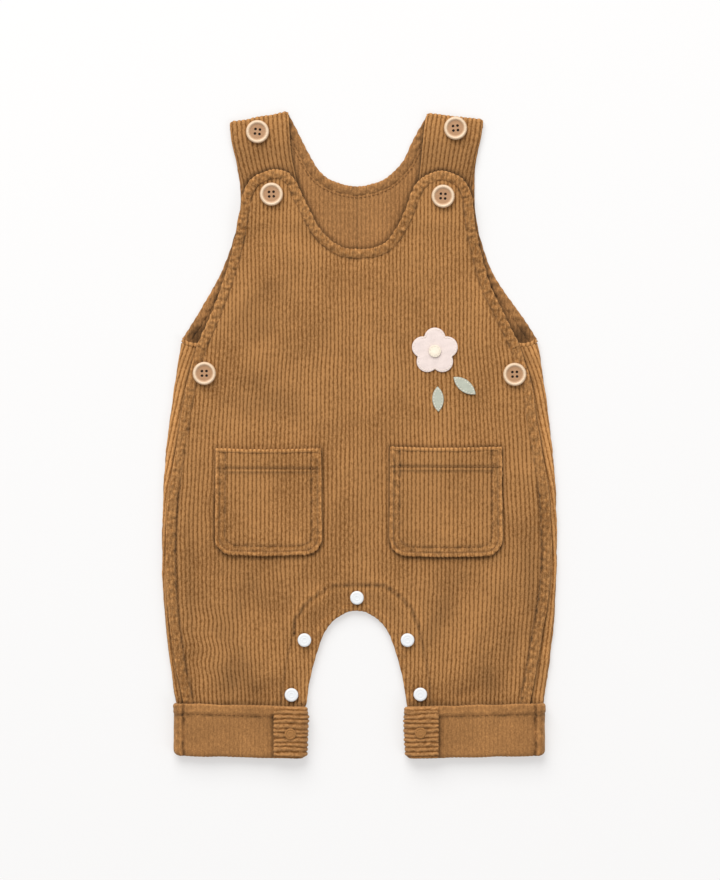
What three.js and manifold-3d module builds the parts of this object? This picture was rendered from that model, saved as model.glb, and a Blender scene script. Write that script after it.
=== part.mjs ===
// Toddler overalls in corduroy, laid flat on a table with the straps folded forward and buttoned.
// Millimetres. X to the viewer's right, Y towards the neck, Z up from the table.
// The origin is on the table under the middle of the garment.
import * as THREE from 'three';
import { mergeVertices } from 'three/addons/utils/BufferGeometryUtils.js';
import Module from 'manifold-3d';

const wasm = await Module();
wasm.setup();

// Cloth
const wale = 3.16; // pitch of the corduroy's ribs, about 8 to the inch
const ribRise = 0.6; // height of a rib over the ground of the cloth
const panelWall = 1.5; // ground thickness of the front, pockets and facings
const backWall = 1.8; // thickness of the back panel and the cuffs
const gap = 0.3; // space between two pieces that lie on each other

// Heights above the table
const sideFold = 4.8; // the back's cloth where it wraps round each side
const loft = 4.1; // underside of the front over the middle of the body
const cuffHeight = { top: 10.9, hem: 9.6 }; // a turned-up cuff at its upper edge and at its fold
const strapFold = 4.2; // a strap folded over on itself

// Levels along the length
const cuffTop = -202.6;
const cuffHem = -243.1;
const legEnd = -239;
const sideOpening = 68.5; // lower end of the armholes
const strapEnd = 166; // end of each strap under its tab

// Half width of the back's outline below the armholes
const backSides = [
  { y: 72, half: 133.2 },
  { y: 56, half: 136.2 },
  { y: 26, half: 140.6 },
  { y: -4, half: 144.0 },
  { y: -34, half: 147.0 },
  { y: -64, half: 148.1 },
  { y: -94, half: 148.1 },
  { y: -124, half: 147.0 },
  { y: -154, half: 144.4 },
  { y: -184, half: 140.6 },
  { y: -203, half: 137.8 },
];

// Side edges of the front, which lies over the wrapped sides of the back
const frontSides = [
  { y: 67, left: -122.0, right: 120.0 },
  { y: 41, left: -129.0, right: 128.4 },
  { y: 11, left: -134.3, right: 133.0 },
  { y: -19, left: -139.1, right: 138.2 },
  { y: -49, left: -143.8, right: 142.6 },
  { y: -94, left: -145.3, right: 144.2 },
  { y: -124, left: -144.2, right: 141.3 },
  { y: -154, left: -140.9, right: 136.3 },
  { y: -178, left: -137.0, right: 132.2 },
  { y: -202, left: -132.0, right: 128.0 },
  { y: -239, left: -130.5, right: 126.5 },
];

// Upper edge of the front, from the left side opening over both tabs to the right one
const frontTop = [
  { x: -122.0, y: 67.0 }, // left armhole
  { x: -110.5, y: 93.0 },
  { x: -102.0, y: 116.5 },
  { x: -95.5, y: 139.0 },
  { x: -90.0, y: 167.0 },
  { x: -87.3, y: 181.0 }, // left tab
  { x: -80.0, y: 193.0 },
  { x: -63.5, y: 199.2 },
  { x: -50.5, y: 194.0 },
  { x: -41.5, y: 177.0 }, // neckline
  { x: -29.5, y: 154.5 },
  { x: -15.0, y: 142.0 },
  { x: -2.0, y: 139.6 },
  { x: 11.5, y: 141.0 },
  { x: 22.0, y: 147.0 },
  { x: 32.0, y: 163.5 },
  { x: 39.5, y: 183.0 }, // right tab
  { x: 46.0, y: 192.0 },
  { x: 60.5, y: 198.2 },
  { x: 76.0, y: 193.0 },
  { x: 83.7, y: 181.0 },
  { x: 85.5, y: 168.0 }, // right armhole
  { x: 89.0, y: 146.0 },
  { x: 98.0, y: 113.0 },
  { x: 106.5, y: 95.0 },
  { x: 120.0, y: 67.0 },
];

// Edge of the gap between the legs, as half widths about its own middle
const legGapMiddle = -2.3;
const legGapTop = -131.9;
const legGap = [
  { y: -134.5, half: 10.0 },
  { y: -138.7, half: 16.6 },
  { y: -146.2, half: 22.8 },
  { y: -153.7, half: 26.4 },
  { y: -168.7, half: 31.2 },
  { y: -183.7, half: 34.9 },
  { y: -198.7, half: 37.2 },
];
const legInCuff = { y: -204.5, half: 40.6 };

// Upper edges of the back: armhole and outer strap edge, and neckline and inner strap edge
const backArmhole = {
  left: [
    { x: -133.2, y: 72.0 },
    { x: -119.6, y: 93.8 },
    { x: -103.1, y: 123.8 },
    { x: -92.8, y: 153.8 },
    { x: -89.2, y: 178.0 },
    { x: -92.6, y: 206.3 },
    { x: -97.5, y: 233.0 },
  ],
  right: [
    { x: 133.2, y: 72.0 },
    { x: 124.1, y: 86.3 },
    { x: 103.1, y: 116.3 },
    { x: 93.4, y: 138.8 },
    { x: 87.4, y: 165.0 },
    { x: 87.0, y: 200.0 },
    { x: 93.0, y: 235.0 },
  ],
};
const backNeck = [
  { x: -53.0, y: 240.6 },
  { x: -46.9, y: 228.8 },
  { x: -39.4, y: 213.8 },
  { x: -30.4, y: 198.8 },
  { x: -19.9, y: 191.0 },
  { x: -1.9, y: 186.8 },
  { x: 16.1, y: 191.0 },
  { x: 26.6, y: 198.8 },
  { x: 33.4, y: 207.0 },
  { x: 40.1, y: 221.3 },
  { x: 50.2, y: 239.4 },
];

// Front layer of each strap, from the fold over the shoulder down to its hidden end
const straps = {
  left: [
    { outerX: -97.3, outerY: 234.9, innerX: -53.4, innerY: 243.1 },
    { outerX: -96.2, outerY: 221.0, innerX: -52.6, innerY: 229.0 },
    { outerX: -92.4, outerY: 205.0, innerX: -50.8, innerY: 208.0 },
    { outerX: -88.6, outerY: 190.0, innerX: -47.2, innerY: 190.0 },
    { outerX: -86.0, outerY: strapEnd, innerX: -45.0, innerY: strapEnd },
  ],
  right: [
    { outerX: 92.8, outerY: 236.6, innerX: 50.4, innerY: 241.8 },
    { outerX: 91.4, outerY: 224.0, innerX: 48.4, innerY: 228.8 },
    { outerX: 87.0, outerY: 205.0, innerX: 46.4, innerY: 208.0 },
    { outerX: 84.0, outerY: 190.0, innerX: 44.6, innerY: 190.0 },
    { outerX: 82.0, outerY: strapEnd, innerX: 43.0, innerY: strapEnd },
  ],
};

// Soft folds of the front: a ridge or a trough along a line, with its half width and its rise
const folds = [
  { x1: -56, y1: 135, x2: -103, y2: 83, reach: 15, rise: 1.2 },
  { x1: -67, y1: 104, x2: -109, y2: 62, reach: 12, rise: -1.0 },
  { x1: -28, y1: 89, x2: -82, y2: 50, reach: 16, rise: 1.2 },
  { x1: -109, y1: 33, x2: -79, y2: 32, reach: 13, rise: -1.1 },
  { x1: -79, y1: 32, x2: -43, y2: 5, reach: 13, rise: -1.1 },
  { x1: 105, y1: 30, x2: 83, y2: 4, reach: 14, rise: -0.9 },
  { x1: 2, y1: 11, x2: -7, y2: -94, reach: 22, rise: 0.8 },
  { x1: -118, y1: -109, x2: -70, y2: -178, reach: 13, rise: 1.5 },
  { x1: -97, y1: -103, x2: -64, y2: -139, reach: 12, rise: -1.1 },
  { x1: -108, y1: -161, x2: -79, y2: -199, reach: 14, rise: -1.7 },
  { x1: -126, y1: -142, x2: -120, y2: -172, reach: 9, rise: -0.9 },
  { x1: -22, y1: -116, x2: -52, y2: -142, reach: 12, rise: 1.0 },
  { x1: 104, y1: -112, x2: 77, y2: -181, reach: 13, rise: 1.5 },
  { x1: 80, y1: -109, x2: 59, y2: -142, reach: 12, rise: -1.1 },
  { x1: 112, y1: -170, x2: 83, y2: -199, reach: 14, rise: -1.7 },
  { x1: 123, y1: -131, x2: 120, y2: -161, reach: 10, rise: -0.9 },
  { x1: 19, y1: -116, x2: 45, y2: -142, reach: 12, rise: 1.0 },
];

// Pockets, measured on the front
const pockets = {
  left: { x1: -108.4, x2: -28.3, bottom: -89.8, top: -10.0, corner: 13 },
  right: { x1: 22.5, x2: 107.0, bottom: -90.7, top: -8.8, corner: 13 },
};

// Cuffs: where each one starts and ends across the leg, and how wide its facing is
const cuffs = {
  left: { outer: -139.4, inner: -40.3, facing: 25.3 },
  right: { outer: 139.2, inner: 35.1, facing: 26.3 },
};
const cuffCorner = { floor: 2.4, top: 5.0 };
const facingWall = 1.5;

// Buttons and snaps
const button = { radius: 8.7, thickness: 3.2, rim: 1.7, dish: 0.9, hole: 1.0, holeOffset: 1.9 };
const buttons = [
  { name: 'button_strap_left', x: -76.5, y: 227.6 },
  { name: 'button_strap_right', x: 72.0, y: 230.2 },
  { name: 'button_bib_left', x: -66.0, y: 180.5 },
  { name: 'button_bib_right', x: 62.6, y: 179.0 },
  { name: 'button_side_left', x: -116.3, y: 46.2 },
  { name: 'button_side_right', x: 116.3, y: 45.5 },
];
const snap = { radius: 5.1, thickness: 2.0 };
const cuffSnap = { radius: 4.4, thickness: 1.0, y: -224.2, left: -51.8, right: 45.6 };
const snaps = [
  { name: 'snap_crotch', x: -1.9, y: -122.0 },
  { name: 'snap_leg_left_upper', x: -41.3, y: -153.7 },
  { name: 'snap_leg_right_upper', x: 36.0, y: -153.7 },
  { name: 'snap_leg_left_lower', x: -51.0, y: -194.8 },
  { name: 'snap_leg_right_lower', x: 45.6, y: -194.4 },
];

// Applique on the bib: a blossom of five petals and two leaves
const blossom = { x: 56.5, y: 63.0, petals: 5, petalOut: 9.6, petalRadius: 8.0, centreRadius: 4.6 };
const leaves = [
  { name: 'patch_leaf_1', x: 70.5, y: 43.5, length: 21, width: 9, turn: -38 },
  { name: 'patch_leaf_2', x: 58.5, y: 36.5, length: 19, width: 8.5, turn: -88 },
];
const appliqueWall = 1.0;

const cloth = new THREE.MeshStandardMaterial({ color: 0xa3723f, roughness: 0.95, metalness: 0 });
const clothWrongSide = new THREE.MeshStandardMaterial({ color: 0xa27345, roughness: 0.95, metalness: 0 });
const wood = new THREE.MeshStandardMaterial({ color: 0xcfa57c, roughness: 0.5, metalness: 0 });
const whitePlastic = new THREE.MeshStandardMaterial({ color: 0xf6f7f7, roughness: 0.35, metalness: 0 });
const pinkFelt = new THREE.MeshStandardMaterial({ color: 0xecdcd7, roughness: 0.9, metalness: 0 });
const creamFelt = new THREE.MeshStandardMaterial({ color: 0xf3eadc, roughness: 0.9, metalness: 0 });
const greenFelt = new THREE.MeshStandardMaterial({ color: 0xa9b3a0, roughness: 0.9, metalness: 0 });

const { clamp, lerp, smoothstep, degToRad } = THREE.MathUtils;

// Values along tables

// The value of one column of a table at a level y, on a smooth curve through its rows from high to low.
function along(rows, column, y) {
  const count = rows.length;
  let row = 0;
  while (row < count - 2 && rows[row + 1].y > y) row += 1;
  const share = clamp((rows[row].y - y) / (rows[row].y - rows[row + 1].y), 0, 1);
  const slope = (at) => {
    const from = rows[Math.max(at - 1, 0)];
    const to = rows[Math.min(at + 1, count - 1)];
    return (to[column] - from[column]) / (from.y - to.y);
  };
  const step = rows[row].y - rows[row + 1].y;
  const squared = share * share;
  const cubed = squared * share;
  return (
    (2 * cubed - 3 * squared + 1) * rows[row][column] +
    (cubed - 2 * squared + share) * step * slope(row) +
    (3 * squared - 2 * cubed) * rows[row + 1][column] +
    (cubed - squared) * step * slope(row + 1)
  );
}

// Points on a smooth curve through the rows of a table.
function curve(rows, spacing = 8) {
  const spline = new THREE.SplineCurve(rows.map((row) => new THREE.Vector2(row.x, row.y)));
  return spline.getSpacedPoints(Math.max(2, Math.round(spline.getLength() / spacing)));
}

// Points down one side of a table of levels, from yHigh to yLow.
function sideLine(xAt, yHigh, yLow, spacing = 19) {
  const count = Math.max(2, Math.round((yHigh - yLow) / spacing));
  return Array.from({ length: count + 1 }, (_, step) => {
    const y = lerp(yHigh, yLow, step / count);
    return new THREE.Vector2(xAt(y), y);
  });
}

// Distance from a point to a line through a list of points.
function distanceTo(points, x, y) {
  let nearest = Infinity;
  for (let at = 0; at < points.length - 1; at += 1) {
    const from = points[at];
    const to = points[at + 1];
    const dx = to.x - from.x;
    const dy = to.y - from.y;
    const share = clamp(((x - from.x) * dx + (y - from.y) * dy) / (dx * dx + dy * dy || 1), 0, 1);
    nearest = Math.min(nearest, Math.hypot(x - from.x - share * dx, y - from.y - share * dy));
  }
  return nearest;
}

// Solids

function manifoldOf(geometry) {
  const bare = geometry.clone();
  bare.deleteAttribute('normal');
  bare.deleteAttribute('uv');
  const merged = mergeVertices(bare, 1e-5);
  return new wasm.Manifold(
    new wasm.Mesh({
      numProp: 3,
      vertProperties: new Float32Array(merged.attributes.position.array),
      triVerts: new Uint32Array(merged.index.array),
    }),
  );
}

function geometryOf(manifold) {
  const mesh = manifold.getMesh();
  const geometry = new THREE.BufferGeometry();
  geometry.setAttribute('position', new THREE.BufferAttribute(mesh.vertProperties, 3));
  geometry.setIndex(new THREE.BufferAttribute(mesh.triVerts, 1));
  return geometry;
}

// The closed solid between two grids of points with the same rows and columns, turned to face outwards.
function between(outer, inner) {
  const rows = outer.length;
  const columns = outer[0].length;
  const positions = [...outer.flat(), ...inner.flat()].flatMap((point) => [point.x, point.y, point.z]);
  const outerAt = (row, column) => row * columns + column;
  const innerAt = (row, column) => rows * columns + row * columns + column;
  const triangles = [];
  const quad = (a, b, c, d) => triangles.push([a, b, c], [a, c, d]);
  for (let row = 0; row < rows - 1; row += 1) {
    for (let column = 0; column < columns - 1; column += 1) {
      const next = column + 1;
      quad(outerAt(row, column), outerAt(row, next), outerAt(row + 1, next), outerAt(row + 1, column));
      quad(innerAt(row, column), innerAt(row + 1, column), innerAt(row + 1, next), innerAt(row, next));
    }
  }
  for (let column = 0; column < columns - 1; column += 1) {
    quad(outerAt(0, column), innerAt(0, column), innerAt(0, column + 1), outerAt(0, column + 1));
    const last = rows - 1;
    const next = column + 1;
    quad(outerAt(last, column), outerAt(last, next), innerAt(last, next), innerAt(last, column));
  }
  for (let row = 0; row < rows - 1; row += 1) {
    quad(outerAt(row, 0), outerAt(row + 1, 0), innerAt(row + 1, 0), innerAt(row, 0));
    const last = columns - 1;
    quad(outerAt(row, last), innerAt(row, last), innerAt(row + 1, last), outerAt(row + 1, last));
  }
  let volume = 0;
  const corner = (index) => new THREE.Vector3(...positions.slice(index * 3, index * 3 + 3));
  for (const [a, b, c] of triangles) volume += corner(a).dot(corner(b).cross(corner(c)));
  const facing = volume > 0 ? triangles : triangles.map(([a, b, c]) => [a, c, b]);
  const geometry = new THREE.BufferGeometry();
  geometry.setAttribute('position', new THREE.Float32BufferAttribute(positions, 3));
  geometry.setIndex(facing.flat());
  return geometry;
}

// An upright prism over a closed outline.
function prism(outline, low = -20, high = 50) {
  const geometry = new THREE.ExtrudeGeometry(new THREE.Shape(outline), {
    depth: high - low,
    bevelEnabled: false,
    curveSegments: 1,
  });
  return manifoldOf(geometry.translate(0, 0, low));
}

// The levels at which the cloth's grid has rows.
const gridRows = [
  -245, -218, -203, -189, -171, -151, -128, -100, -66, -32, -4, 24, 48, 71, 98, 126, 154, 180, 202,
];

// Wales lean a little with the side edges: x of the cloth's own coordinate u at a level y.
const waleLean = 0.4;
const widestFront = 145;
function leanTo(u, y) {
  const edge = along(frontSides, 'right', clamp(y, -200, 67));
  return u * (1 + waleLean * (edge / widestFront - 1));
}

const undersideStride = 8; // columns of the ribbed side to one of the plain underside
const narrowest = 0.85; // less than the least stretch across that the lean gives
const farBelow = -20; // levels outside every wall
const farAbove = 50;

// A wall with a ribbed upper side, cut to an outline. Its underside follows bottom(x, y), and its ribs
// run along the wales, with a crest and a valley in each.
function ribbedWall(outline, bottom, thickness, rise = ribRise) {
  const box = new THREE.Box2().setFromPoints(outline);
  const halfWales = 2 / (wale * narrowest);
  const first = Math.floor(box.min.x * halfWales - undersideStride);
  const last = Math.ceil(box.max.x * halfWales + 2 * undersideStride);
  const start = Math.floor(first / undersideStride) * undersideStride;
  const rows = gridRows.filter((y, at) => {
    const above = gridRows[at + 1] ?? y;
    const below = gridRows[at - 1] ?? y;
    return above > box.min.y && below < box.max.y;
  });
  const grid = (stride, heightAt) =>
    rows.map((y) => {
      const points = [];
      for (let line = start; line <= last; line += stride) {
        const x = leanTo((line * wale) / 2, y);
        points.push(new THREE.Vector3(x, y, heightAt(x, y, line)));
      }
      return points;
    });
  const rib = (line) => (line % 2 === 0 ? rise : 0);
  const upper = grid(1, (x, y, line) => bottom(x, y) + thickness + rib(line));
  const lower = grid(undersideStride, (x, y) => bottom(x, y));
  const flat = (points, z) => points.map((row) => row.map(({ x, y }) => new THREE.Vector3(x, y, z)));
  const under = manifoldOf(between(upper, flat(upper, farBelow)));
  const above = manifoldOf(between(flat(lower, farAbove), lower));
  return prism(outline).intersect(under).intersect(above);
}

// Outlines

const legGapEdge = (side) => (y) => {
  const half = y > legInCuff.y + 5 ? along(legGap, 'half', y) : legInCuff.half;
  return legGapMiddle + side * half;
};
const legGapLine = [
  ...sideLine(legGapEdge(-1), -134.5, cuffTop + 3, 7).reverse(),
  new THREE.Vector2(legGapMiddle - 5, legGapTop - 0.7),
  new THREE.Vector2(legGapMiddle + 5, legGapTop - 0.7),
  ...sideLine(legGapEdge(1), -134.5, cuffTop + 3, 7),
];
const inCuff = (side) => [
  new THREE.Vector2(legGapMiddle + side * legInCuff.half, cuffTop - 0.2),
  new THREE.Vector2(legGapMiddle + side * legInCuff.half, legEnd),
];

const frontSide = (side) => (y) => along(frontSides, side, y);
const frontUpper = curve(frontTop, 6.5);
const frontOutline = [
  ...frontUpper,
  ...sideLine(frontSide('right'), 67, legEnd).slice(1),
  ...inCuff(1).reverse(),
  ...[...legGapLine].reverse(),
  ...inCuff(-1),
  ...sideLine(frontSide('left'), 67, legEnd).slice(1).reverse(),
];

// Heights of the layers

// The back rises over each cuff's floor layer.
const liftedBack = (y) => (backWall + gap) * smoothstep(-y, 190, 201.5);
const backTop = (y) => liftedBack(y) + backWall;

const backHalf = (y) => along(backSides, 'half', y);
const flapUnderFront = 8.5; // how far the wrapped side reaches under the front
const supportMargin = 6; // the front stays at the support's height this far past its edge
const sideSlope = 0.09; // how steeply the front falls away past the wrapped side
const strapSlope = 0.16; // and past a strap's end
const loftReach = 22; // distance from a loose edge over which the front rises to its loft

// Top of the wrapped side of the back, where it lies under the front, falling away past its inner edge.
function sideSupport(x, y) {
  const edge = x < 0 ? -along(frontSides, 'left', y) : along(frontSides, 'right', y);
  const inside = Math.max(0, edge - flapUnderFront - supportMargin - Math.abs(x));
  const beyond = Math.max(0, y - sideOpening - 3, cuffTop - 2 - y);
  return sideFold + liftedBack(y) * 0.6 - sideSlope * Math.hypot(inside, beyond * 1.4);
}

// Top of the strap ends under the tabs.
function strapSupport(x, y) {
  const rows = x < 0 ? straps.left : straps.right;
  const ends = [Math.abs(rows[4].innerX) - 7, Math.abs(rows[1].outerX)];
  const aside = Math.max(0, ends[0] - Math.abs(x), Math.abs(x) - ends[1]);
  const below = Math.max(0, strapEnd - 8 - y);
  return strapFold + ribRise - strapSlope * Math.hypot(aside, below);
}

function foldHeight(x, y) {
  let height = 0;
  for (const { x1, y1, x2, y2, reach, rise } of folds) {
    const off = distanceTo([new THREE.Vector2(x1, y1), new THREE.Vector2(x2, y2)], x, y) / reach;
    height += rise * Math.exp(-1.6 * off * off);
  }
  return height;
}

// Underside of the front: it lies on the wrapped sides, the straps and the edges, and is lofted between.
const looseEdge = frontUpper.filter((point) => point.y > 80);
function frontBottom(x, y) {
  const edge = Math.min(distanceTo(looseEdge, x, y), distanceTo(legGapLine, x, y));
  const share = smoothstep(edge, 0, loftReach);
  const low = backTop(y) + gap + 0.3;
  const high = Math.max(loft, low + 0.4) + foldHeight(x, y) * smoothstep(y, -206, -196);
  const lofted = lerp(low, high, share);
  return Math.max(lofted, sideSupport(x, y) + gap + 0.1, strapSupport(x, y) + gap, backTop(y) + gap);
}
const frontTopAt = (x, y) => frontBottom(x, y) + panelWall + ribRise;
const aboveFront = (x, y) => frontTopAt(x, y) + gap + 0.1;

// Pieces

const front = ribbedWall(frontOutline, frontBottom, panelWall);

// The flat part of the back, with the floor layer of both straps.
const foldRadius = sideFold / 2;
const backInset = foldRadius + 2.5; // the flat part ends inside the fold
const backInCuffEdge = 132.8;
const plateSide = (side) => (y) => side * (backHalf(y) - backInset * smoothstep(71 - y, 0, 4));
const plateLegEnd = cuffTop - 0.2;
const backInCuff = (side) => [
  new THREE.Vector2(side * backInCuffEdge, plateLegEnd),
  new THREE.Vector2(side * backInCuffEdge, legEnd),
];
const plateOutline = [
  ...curve(backArmhole.left),
  ...curve(backNeck),
  ...curve(backArmhole.right).reverse(),
  ...sideLine(plateSide(1), 70, plateLegEnd + 1),
  ...backInCuff(1),
  ...inCuff(1).reverse(),
  ...[...legGapLine].reverse(),
  ...inCuff(-1),
  ...backInCuff(-1).reverse(),
  ...sideLine(plateSide(-1), 70, plateLegEnd + 1).reverse(),
];
const plateRows = [250, -190, -194, -198, -201.5, -250]; // dense where the back rises into the cuffs
const wideOfBack = 160;
const plateGrid = (height) =>
  plateRows.map((y) =>
    [-wideOfBack, wideOfBack].map((x) => new THREE.Vector3(x, y, liftedBack(y) + height)),
  );
const plate = prism(plateOutline).intersect(manifoldOf(between(plateGrid(backWall), plateGrid(0))));

const foldGroove = 0.45; // depth of the valleys on the wrapped sides
const foldOverlap = 5; // how far the wrapped side runs in under the flat part's edge
const sideLevels = [sideOpening, 50, 30, 8, -18, -50, -90, -125, -155, -178, -190, plateLegEnd + 0.4];

// A side of the back, from the floor round the fold to its hidden edge under the front. Its outer face
// has ribs that follow the fold.
function wrappedSide(side) {
  const column = side > 0 ? 'right' : 'left';
  const arcSteps = 4;
  const flapSteps = 4;
  const outer = [];
  const inner = [];
  for (const y of sideLevels) {
    const half = backHalf(y);
    const lift = liftedBack(y);
    const fold = sideFold - 0.4 * lift;
    const radius = fold / 2;
    const middle = half - radius;
    const hidden = Math.abs(along(frontSides, column, y)) - flapUnderFront;
    const start = side * (middle - foldOverlap);
    const outerRow = [new THREE.Vector3(start, y, lift)];
    const innerRow = [new THREE.Vector3(start, y, lift + backWall)];
    for (let step = 0; step <= arcSteps; step += 1) {
      const angle = -Math.PI / 2 + (Math.PI * step) / arcSteps;
      const valley = step % 2 === 0 ? 0 : foldGroove;
      const put = (row, r) => {
        const x = side * (middle + r * Math.cos(angle));
        row.push(new THREE.Vector3(x, y, lift + radius + r * Math.sin(angle)));
      };
      put(outerRow, radius - valley);
      put(innerRow, radius - backWall);
    }
    for (let step = 1; step <= flapSteps; step += 1) {
      const x = side * lerp(middle, hidden, step / flapSteps);
      const valley = step % 2 === 0 ? 0 : foldGroove;
      outerRow.push(new THREE.Vector3(x, y, lift + fold - valley));
      innerRow.push(new THREE.Vector3(x, y, lift + fold - backWall));
    }
    outer.push(outerRow);
    inner.push(innerRow);
  }
  return manifoldOf(between(outer, inner));
}

const strapWall = 1.5;
const strapOverlap = 4; // length of the fold that runs in on the floor layer
const strapRib = { crest: 0.3, valley: -0.25 };

// A strap's front layer with its fold over the shoulder, which starts on the floor layer. The wales run
// along it.
function strapOver(rows) {
  const across = 28;
  const radius = (strapFold - ribRise * 0.5) / 2;
  const stations = [];
  const place = (row, share) => ({
    x: lerp(row.outerX, row.innerX, share),
    y: lerp(row.outerY, row.innerY, share),
  });
  stations.push({ row: rows[0], back: radius + strapOverlap, z: 0, ny: 0, nz: -1 });
  for (const angle of [-90, -30, 30, 90]) {
    const ny = Math.cos(degToRad(angle));
    const nz = Math.sin(degToRad(angle));
    stations.push({ row: rows[0], back: radius - radius * ny, z: radius + radius * nz, ny, nz });
  }
  for (const row of rows.slice(1)) stations.push({ row, back: 0, z: 2 * radius, ny: 0, nz: 1 });
  const grid = (depth) =>
    stations.map(({ row, back, z, ny, nz }) =>
      Array.from({ length: across + 1 }, (_, column) => {
        const { x, y } = place(row, column / across);
        const rib = column % 2 === 0 ? strapRib.crest : strapRib.valley;
        const onFloor = nz < -0.9;
        const out = depth > 0 ? -depth : rib * (onFloor ? 0 : 1);
        return new THREE.Vector3(x, y - back + ny * out, z + nz * out);
      }),
    );
  return manifoldOf(between(grid(0), grid(strapWall)));
}

const back = plate
  .add(wrappedSide(-1))
  .add(wrappedSide(1))
  .add(strapOver(straps.left))
  .add(strapOver(straps.right));

// A patch pocket with two round lower corners.
function pocket({ x1, x2, bottom, top, corner }) {
  const outline = new THREE.Path();
  outline.moveTo(x1, top).lineTo(x1, bottom + corner);
  outline.absarc(x1 + corner, bottom + corner, corner, Math.PI, 1.5 * Math.PI);
  outline.lineTo(x2 - corner, bottom);
  outline.absarc(x2 - corner, bottom + corner, corner, 1.5 * Math.PI, 2 * Math.PI);
  outline.lineTo(x2, top);
  return ribbedWall(outline.getPoints(5), aboveFront, panelWall);
}

// The section of a cuff at a level: across, down and the outward direction at each point, going round
// from the middle of the floor past the outer side, over the top and back.
function cuffSection({ outer, inner }, height, inset) {
  const low = Math.min(outer, inner) + inset;
  const high = Math.max(outer, inner) - inset;
  const { floor, top } = cuffCorner;
  const corners = [
    { x: high - floor, z: floor, radius: floor, from: -90, steps: 2 },
    { x: high - top, z: height - top, radius: top, from: 0, steps: 3 },
    { x: low + top, z: height - top, radius: top, from: 90, steps: 3 },
    { x: low + floor, z: floor, radius: floor, from: 180, steps: 2 },
  ];
  const points = [];
  for (const { x, z, radius, from, steps } of corners) {
    for (let step = 0; step <= steps; step += 1) {
      const angle = degToRad(from + (90 * step) / steps);
      const nx = Math.cos(angle);
      const nz = Math.sin(angle);
      points.push({ x: x + radius * nx, z: z + radius * nz, nx, nz });
    }
  }
  return [...points, points[0]];
}

const cuffRows = [
  { y: cuffTop, inset: 0.6 },
  { y: cuffTop - 1.2, inset: 0 },
  { y: cuffTop - 8, inset: 0 },
  { y: cuffTop - 10, inset: 0.25 },
  { y: cuffTop - 12, inset: 0 },
  { y: -228, inset: 0 },
  { y: cuffHem + 1.6, inset: 0 },
  { y: cuffHem, inset: 0.9 },
];
const cuffHeightAt = (y) => lerp(cuffHeight.top, cuffHeight.hem, (cuffTop - y) / (cuffTop - cuffHem));

// A cuff: a wall all round the leg, open at both ends.
function cuff(sizes) {
  const ring = (depth) =>
    cuffRows.map(({ y, inset }) =>
      cuffSection(sizes, cuffHeightAt(y), 0).map(({ x, z, nx, nz }) => {
        const out = -Math.max(depth, nz < -0.7 ? 0 : inset);
        return new THREE.Vector3(x + nx * out, y, z + nz * out);
      }),
    );
  return between(ring(0), ring(backWall));
}

// The facing on a cuff's top and inner side, with ribs that run across the leg.
function cuffFacing(sizes) {
  const side = Math.sign(sizes.outer);
  const section = (y) => {
    const points = cuffSection(sizes, cuffHeightAt(y), 0);
    const innerSide = points.filter(({ nx, nz }) => nz >= -0.1 && nx * side <= 0.01);
    const ordered = innerSide.sort((a, b) => side * (a.x - b.x) || a.z - b.z);
    const top = ordered.at(-1);
    const farEdge = sizes.inner + side * sizes.facing;
    const kept = ordered.filter((point) => side * (farEdge - point.x) > 0);
    return [...kept, { ...top, x: farEdge, z: cuffHeightAt(y), nx: 0, nz: 1 }];
  };
  const start = cuffTop - 1.8;
  const end = cuffHem + 1.6;
  const lines = 24; // a crest and a valley for each of twelve ribs
  const groove = 0.5;
  const grid = (depth) =>
    Array.from({ length: lines + 1 }, (_, line) => {
      const y = lerp(start, end, line / lines);
      const rib = line % 2 === 0 ? -groove : 0;
      const out = gap + (depth ? 0 : facingWall + rib);
      return section(y).map(({ x, z, nx, nz }) => new THREE.Vector3(x + nx * out, y, z + nz * out));
    });
  return between(grid(0), grid(1));
}

// The lowest height at which a flat disc rests on the front at a place.
function restOn(surface, x, y, radius) {
  let height = surface(x, y);
  for (let step = 0; step < 12; step += 1) {
    const angle = (Math.PI * step) / 6;
    height = Math.max(height, surface(x + radius * Math.cos(angle), y + radius * Math.sin(angle)));
  }
  return height + gap;
}

// A wooden button: a raised rim round a dish with four holes.
function fourHoleButton() {
  const { radius, thickness, rim, dish, hole, holeOffset } = button;
  const profile = [
    [0, 0], [radius - 1, 0], [radius, 1.2], [radius, thickness - 0.8], [radius - 0.9, thickness],
    [radius - rim - 0.8, thickness - dish], [0, thickness - dish],
  ].map(([r, z]) => new THREE.Vector2(r, z));
  let disc = manifoldOf(new THREE.LatheGeometry(profile, 14).rotateX(Math.PI / 2));
  for (const [dx, dy] of [[-1, -1], [1, -1], [1, 1], [-1, 1]]) {
    const outline = Array.from({ length: 6 }, (_, step) => {
      const angle = (Math.PI * step) / 3;
      const x = dx * holeOffset + hole * Math.cos(angle);
      return new THREE.Vector2(x, dy * holeOffset + hole * Math.sin(angle));
    });
    disc = disc.subtract(prism(outline));
  }
  return geometryOf(disc);
}

// A domed cap with a flat top.
function cap({ radius, thickness }) {
  const profile = [
    [0, 0], [radius - 0.3, 0], [radius, thickness * 0.5], [radius - 1, thickness], [0, thickness],
  ].map(([r, z]) => new THREE.Vector2(r, z));
  return new THREE.LatheGeometry(profile, 12).rotateX(Math.PI / 2);
}

function blossomOutline({ x, y, petals, petalOut, petalRadius }) {
  return Array.from({ length: petals * 12 }, (_, step) => {
    const angle = (2 * Math.PI * step) / (petals * 12);
    const lobe = Math.abs(Math.cos((petals * (angle - Math.PI / 2)) / 2));
    const reach = petalOut + petalRadius * lobe ** 0.7;
    return new THREE.Vector2(x + reach * Math.cos(angle), y + reach * Math.sin(angle));
  });
}

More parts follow.
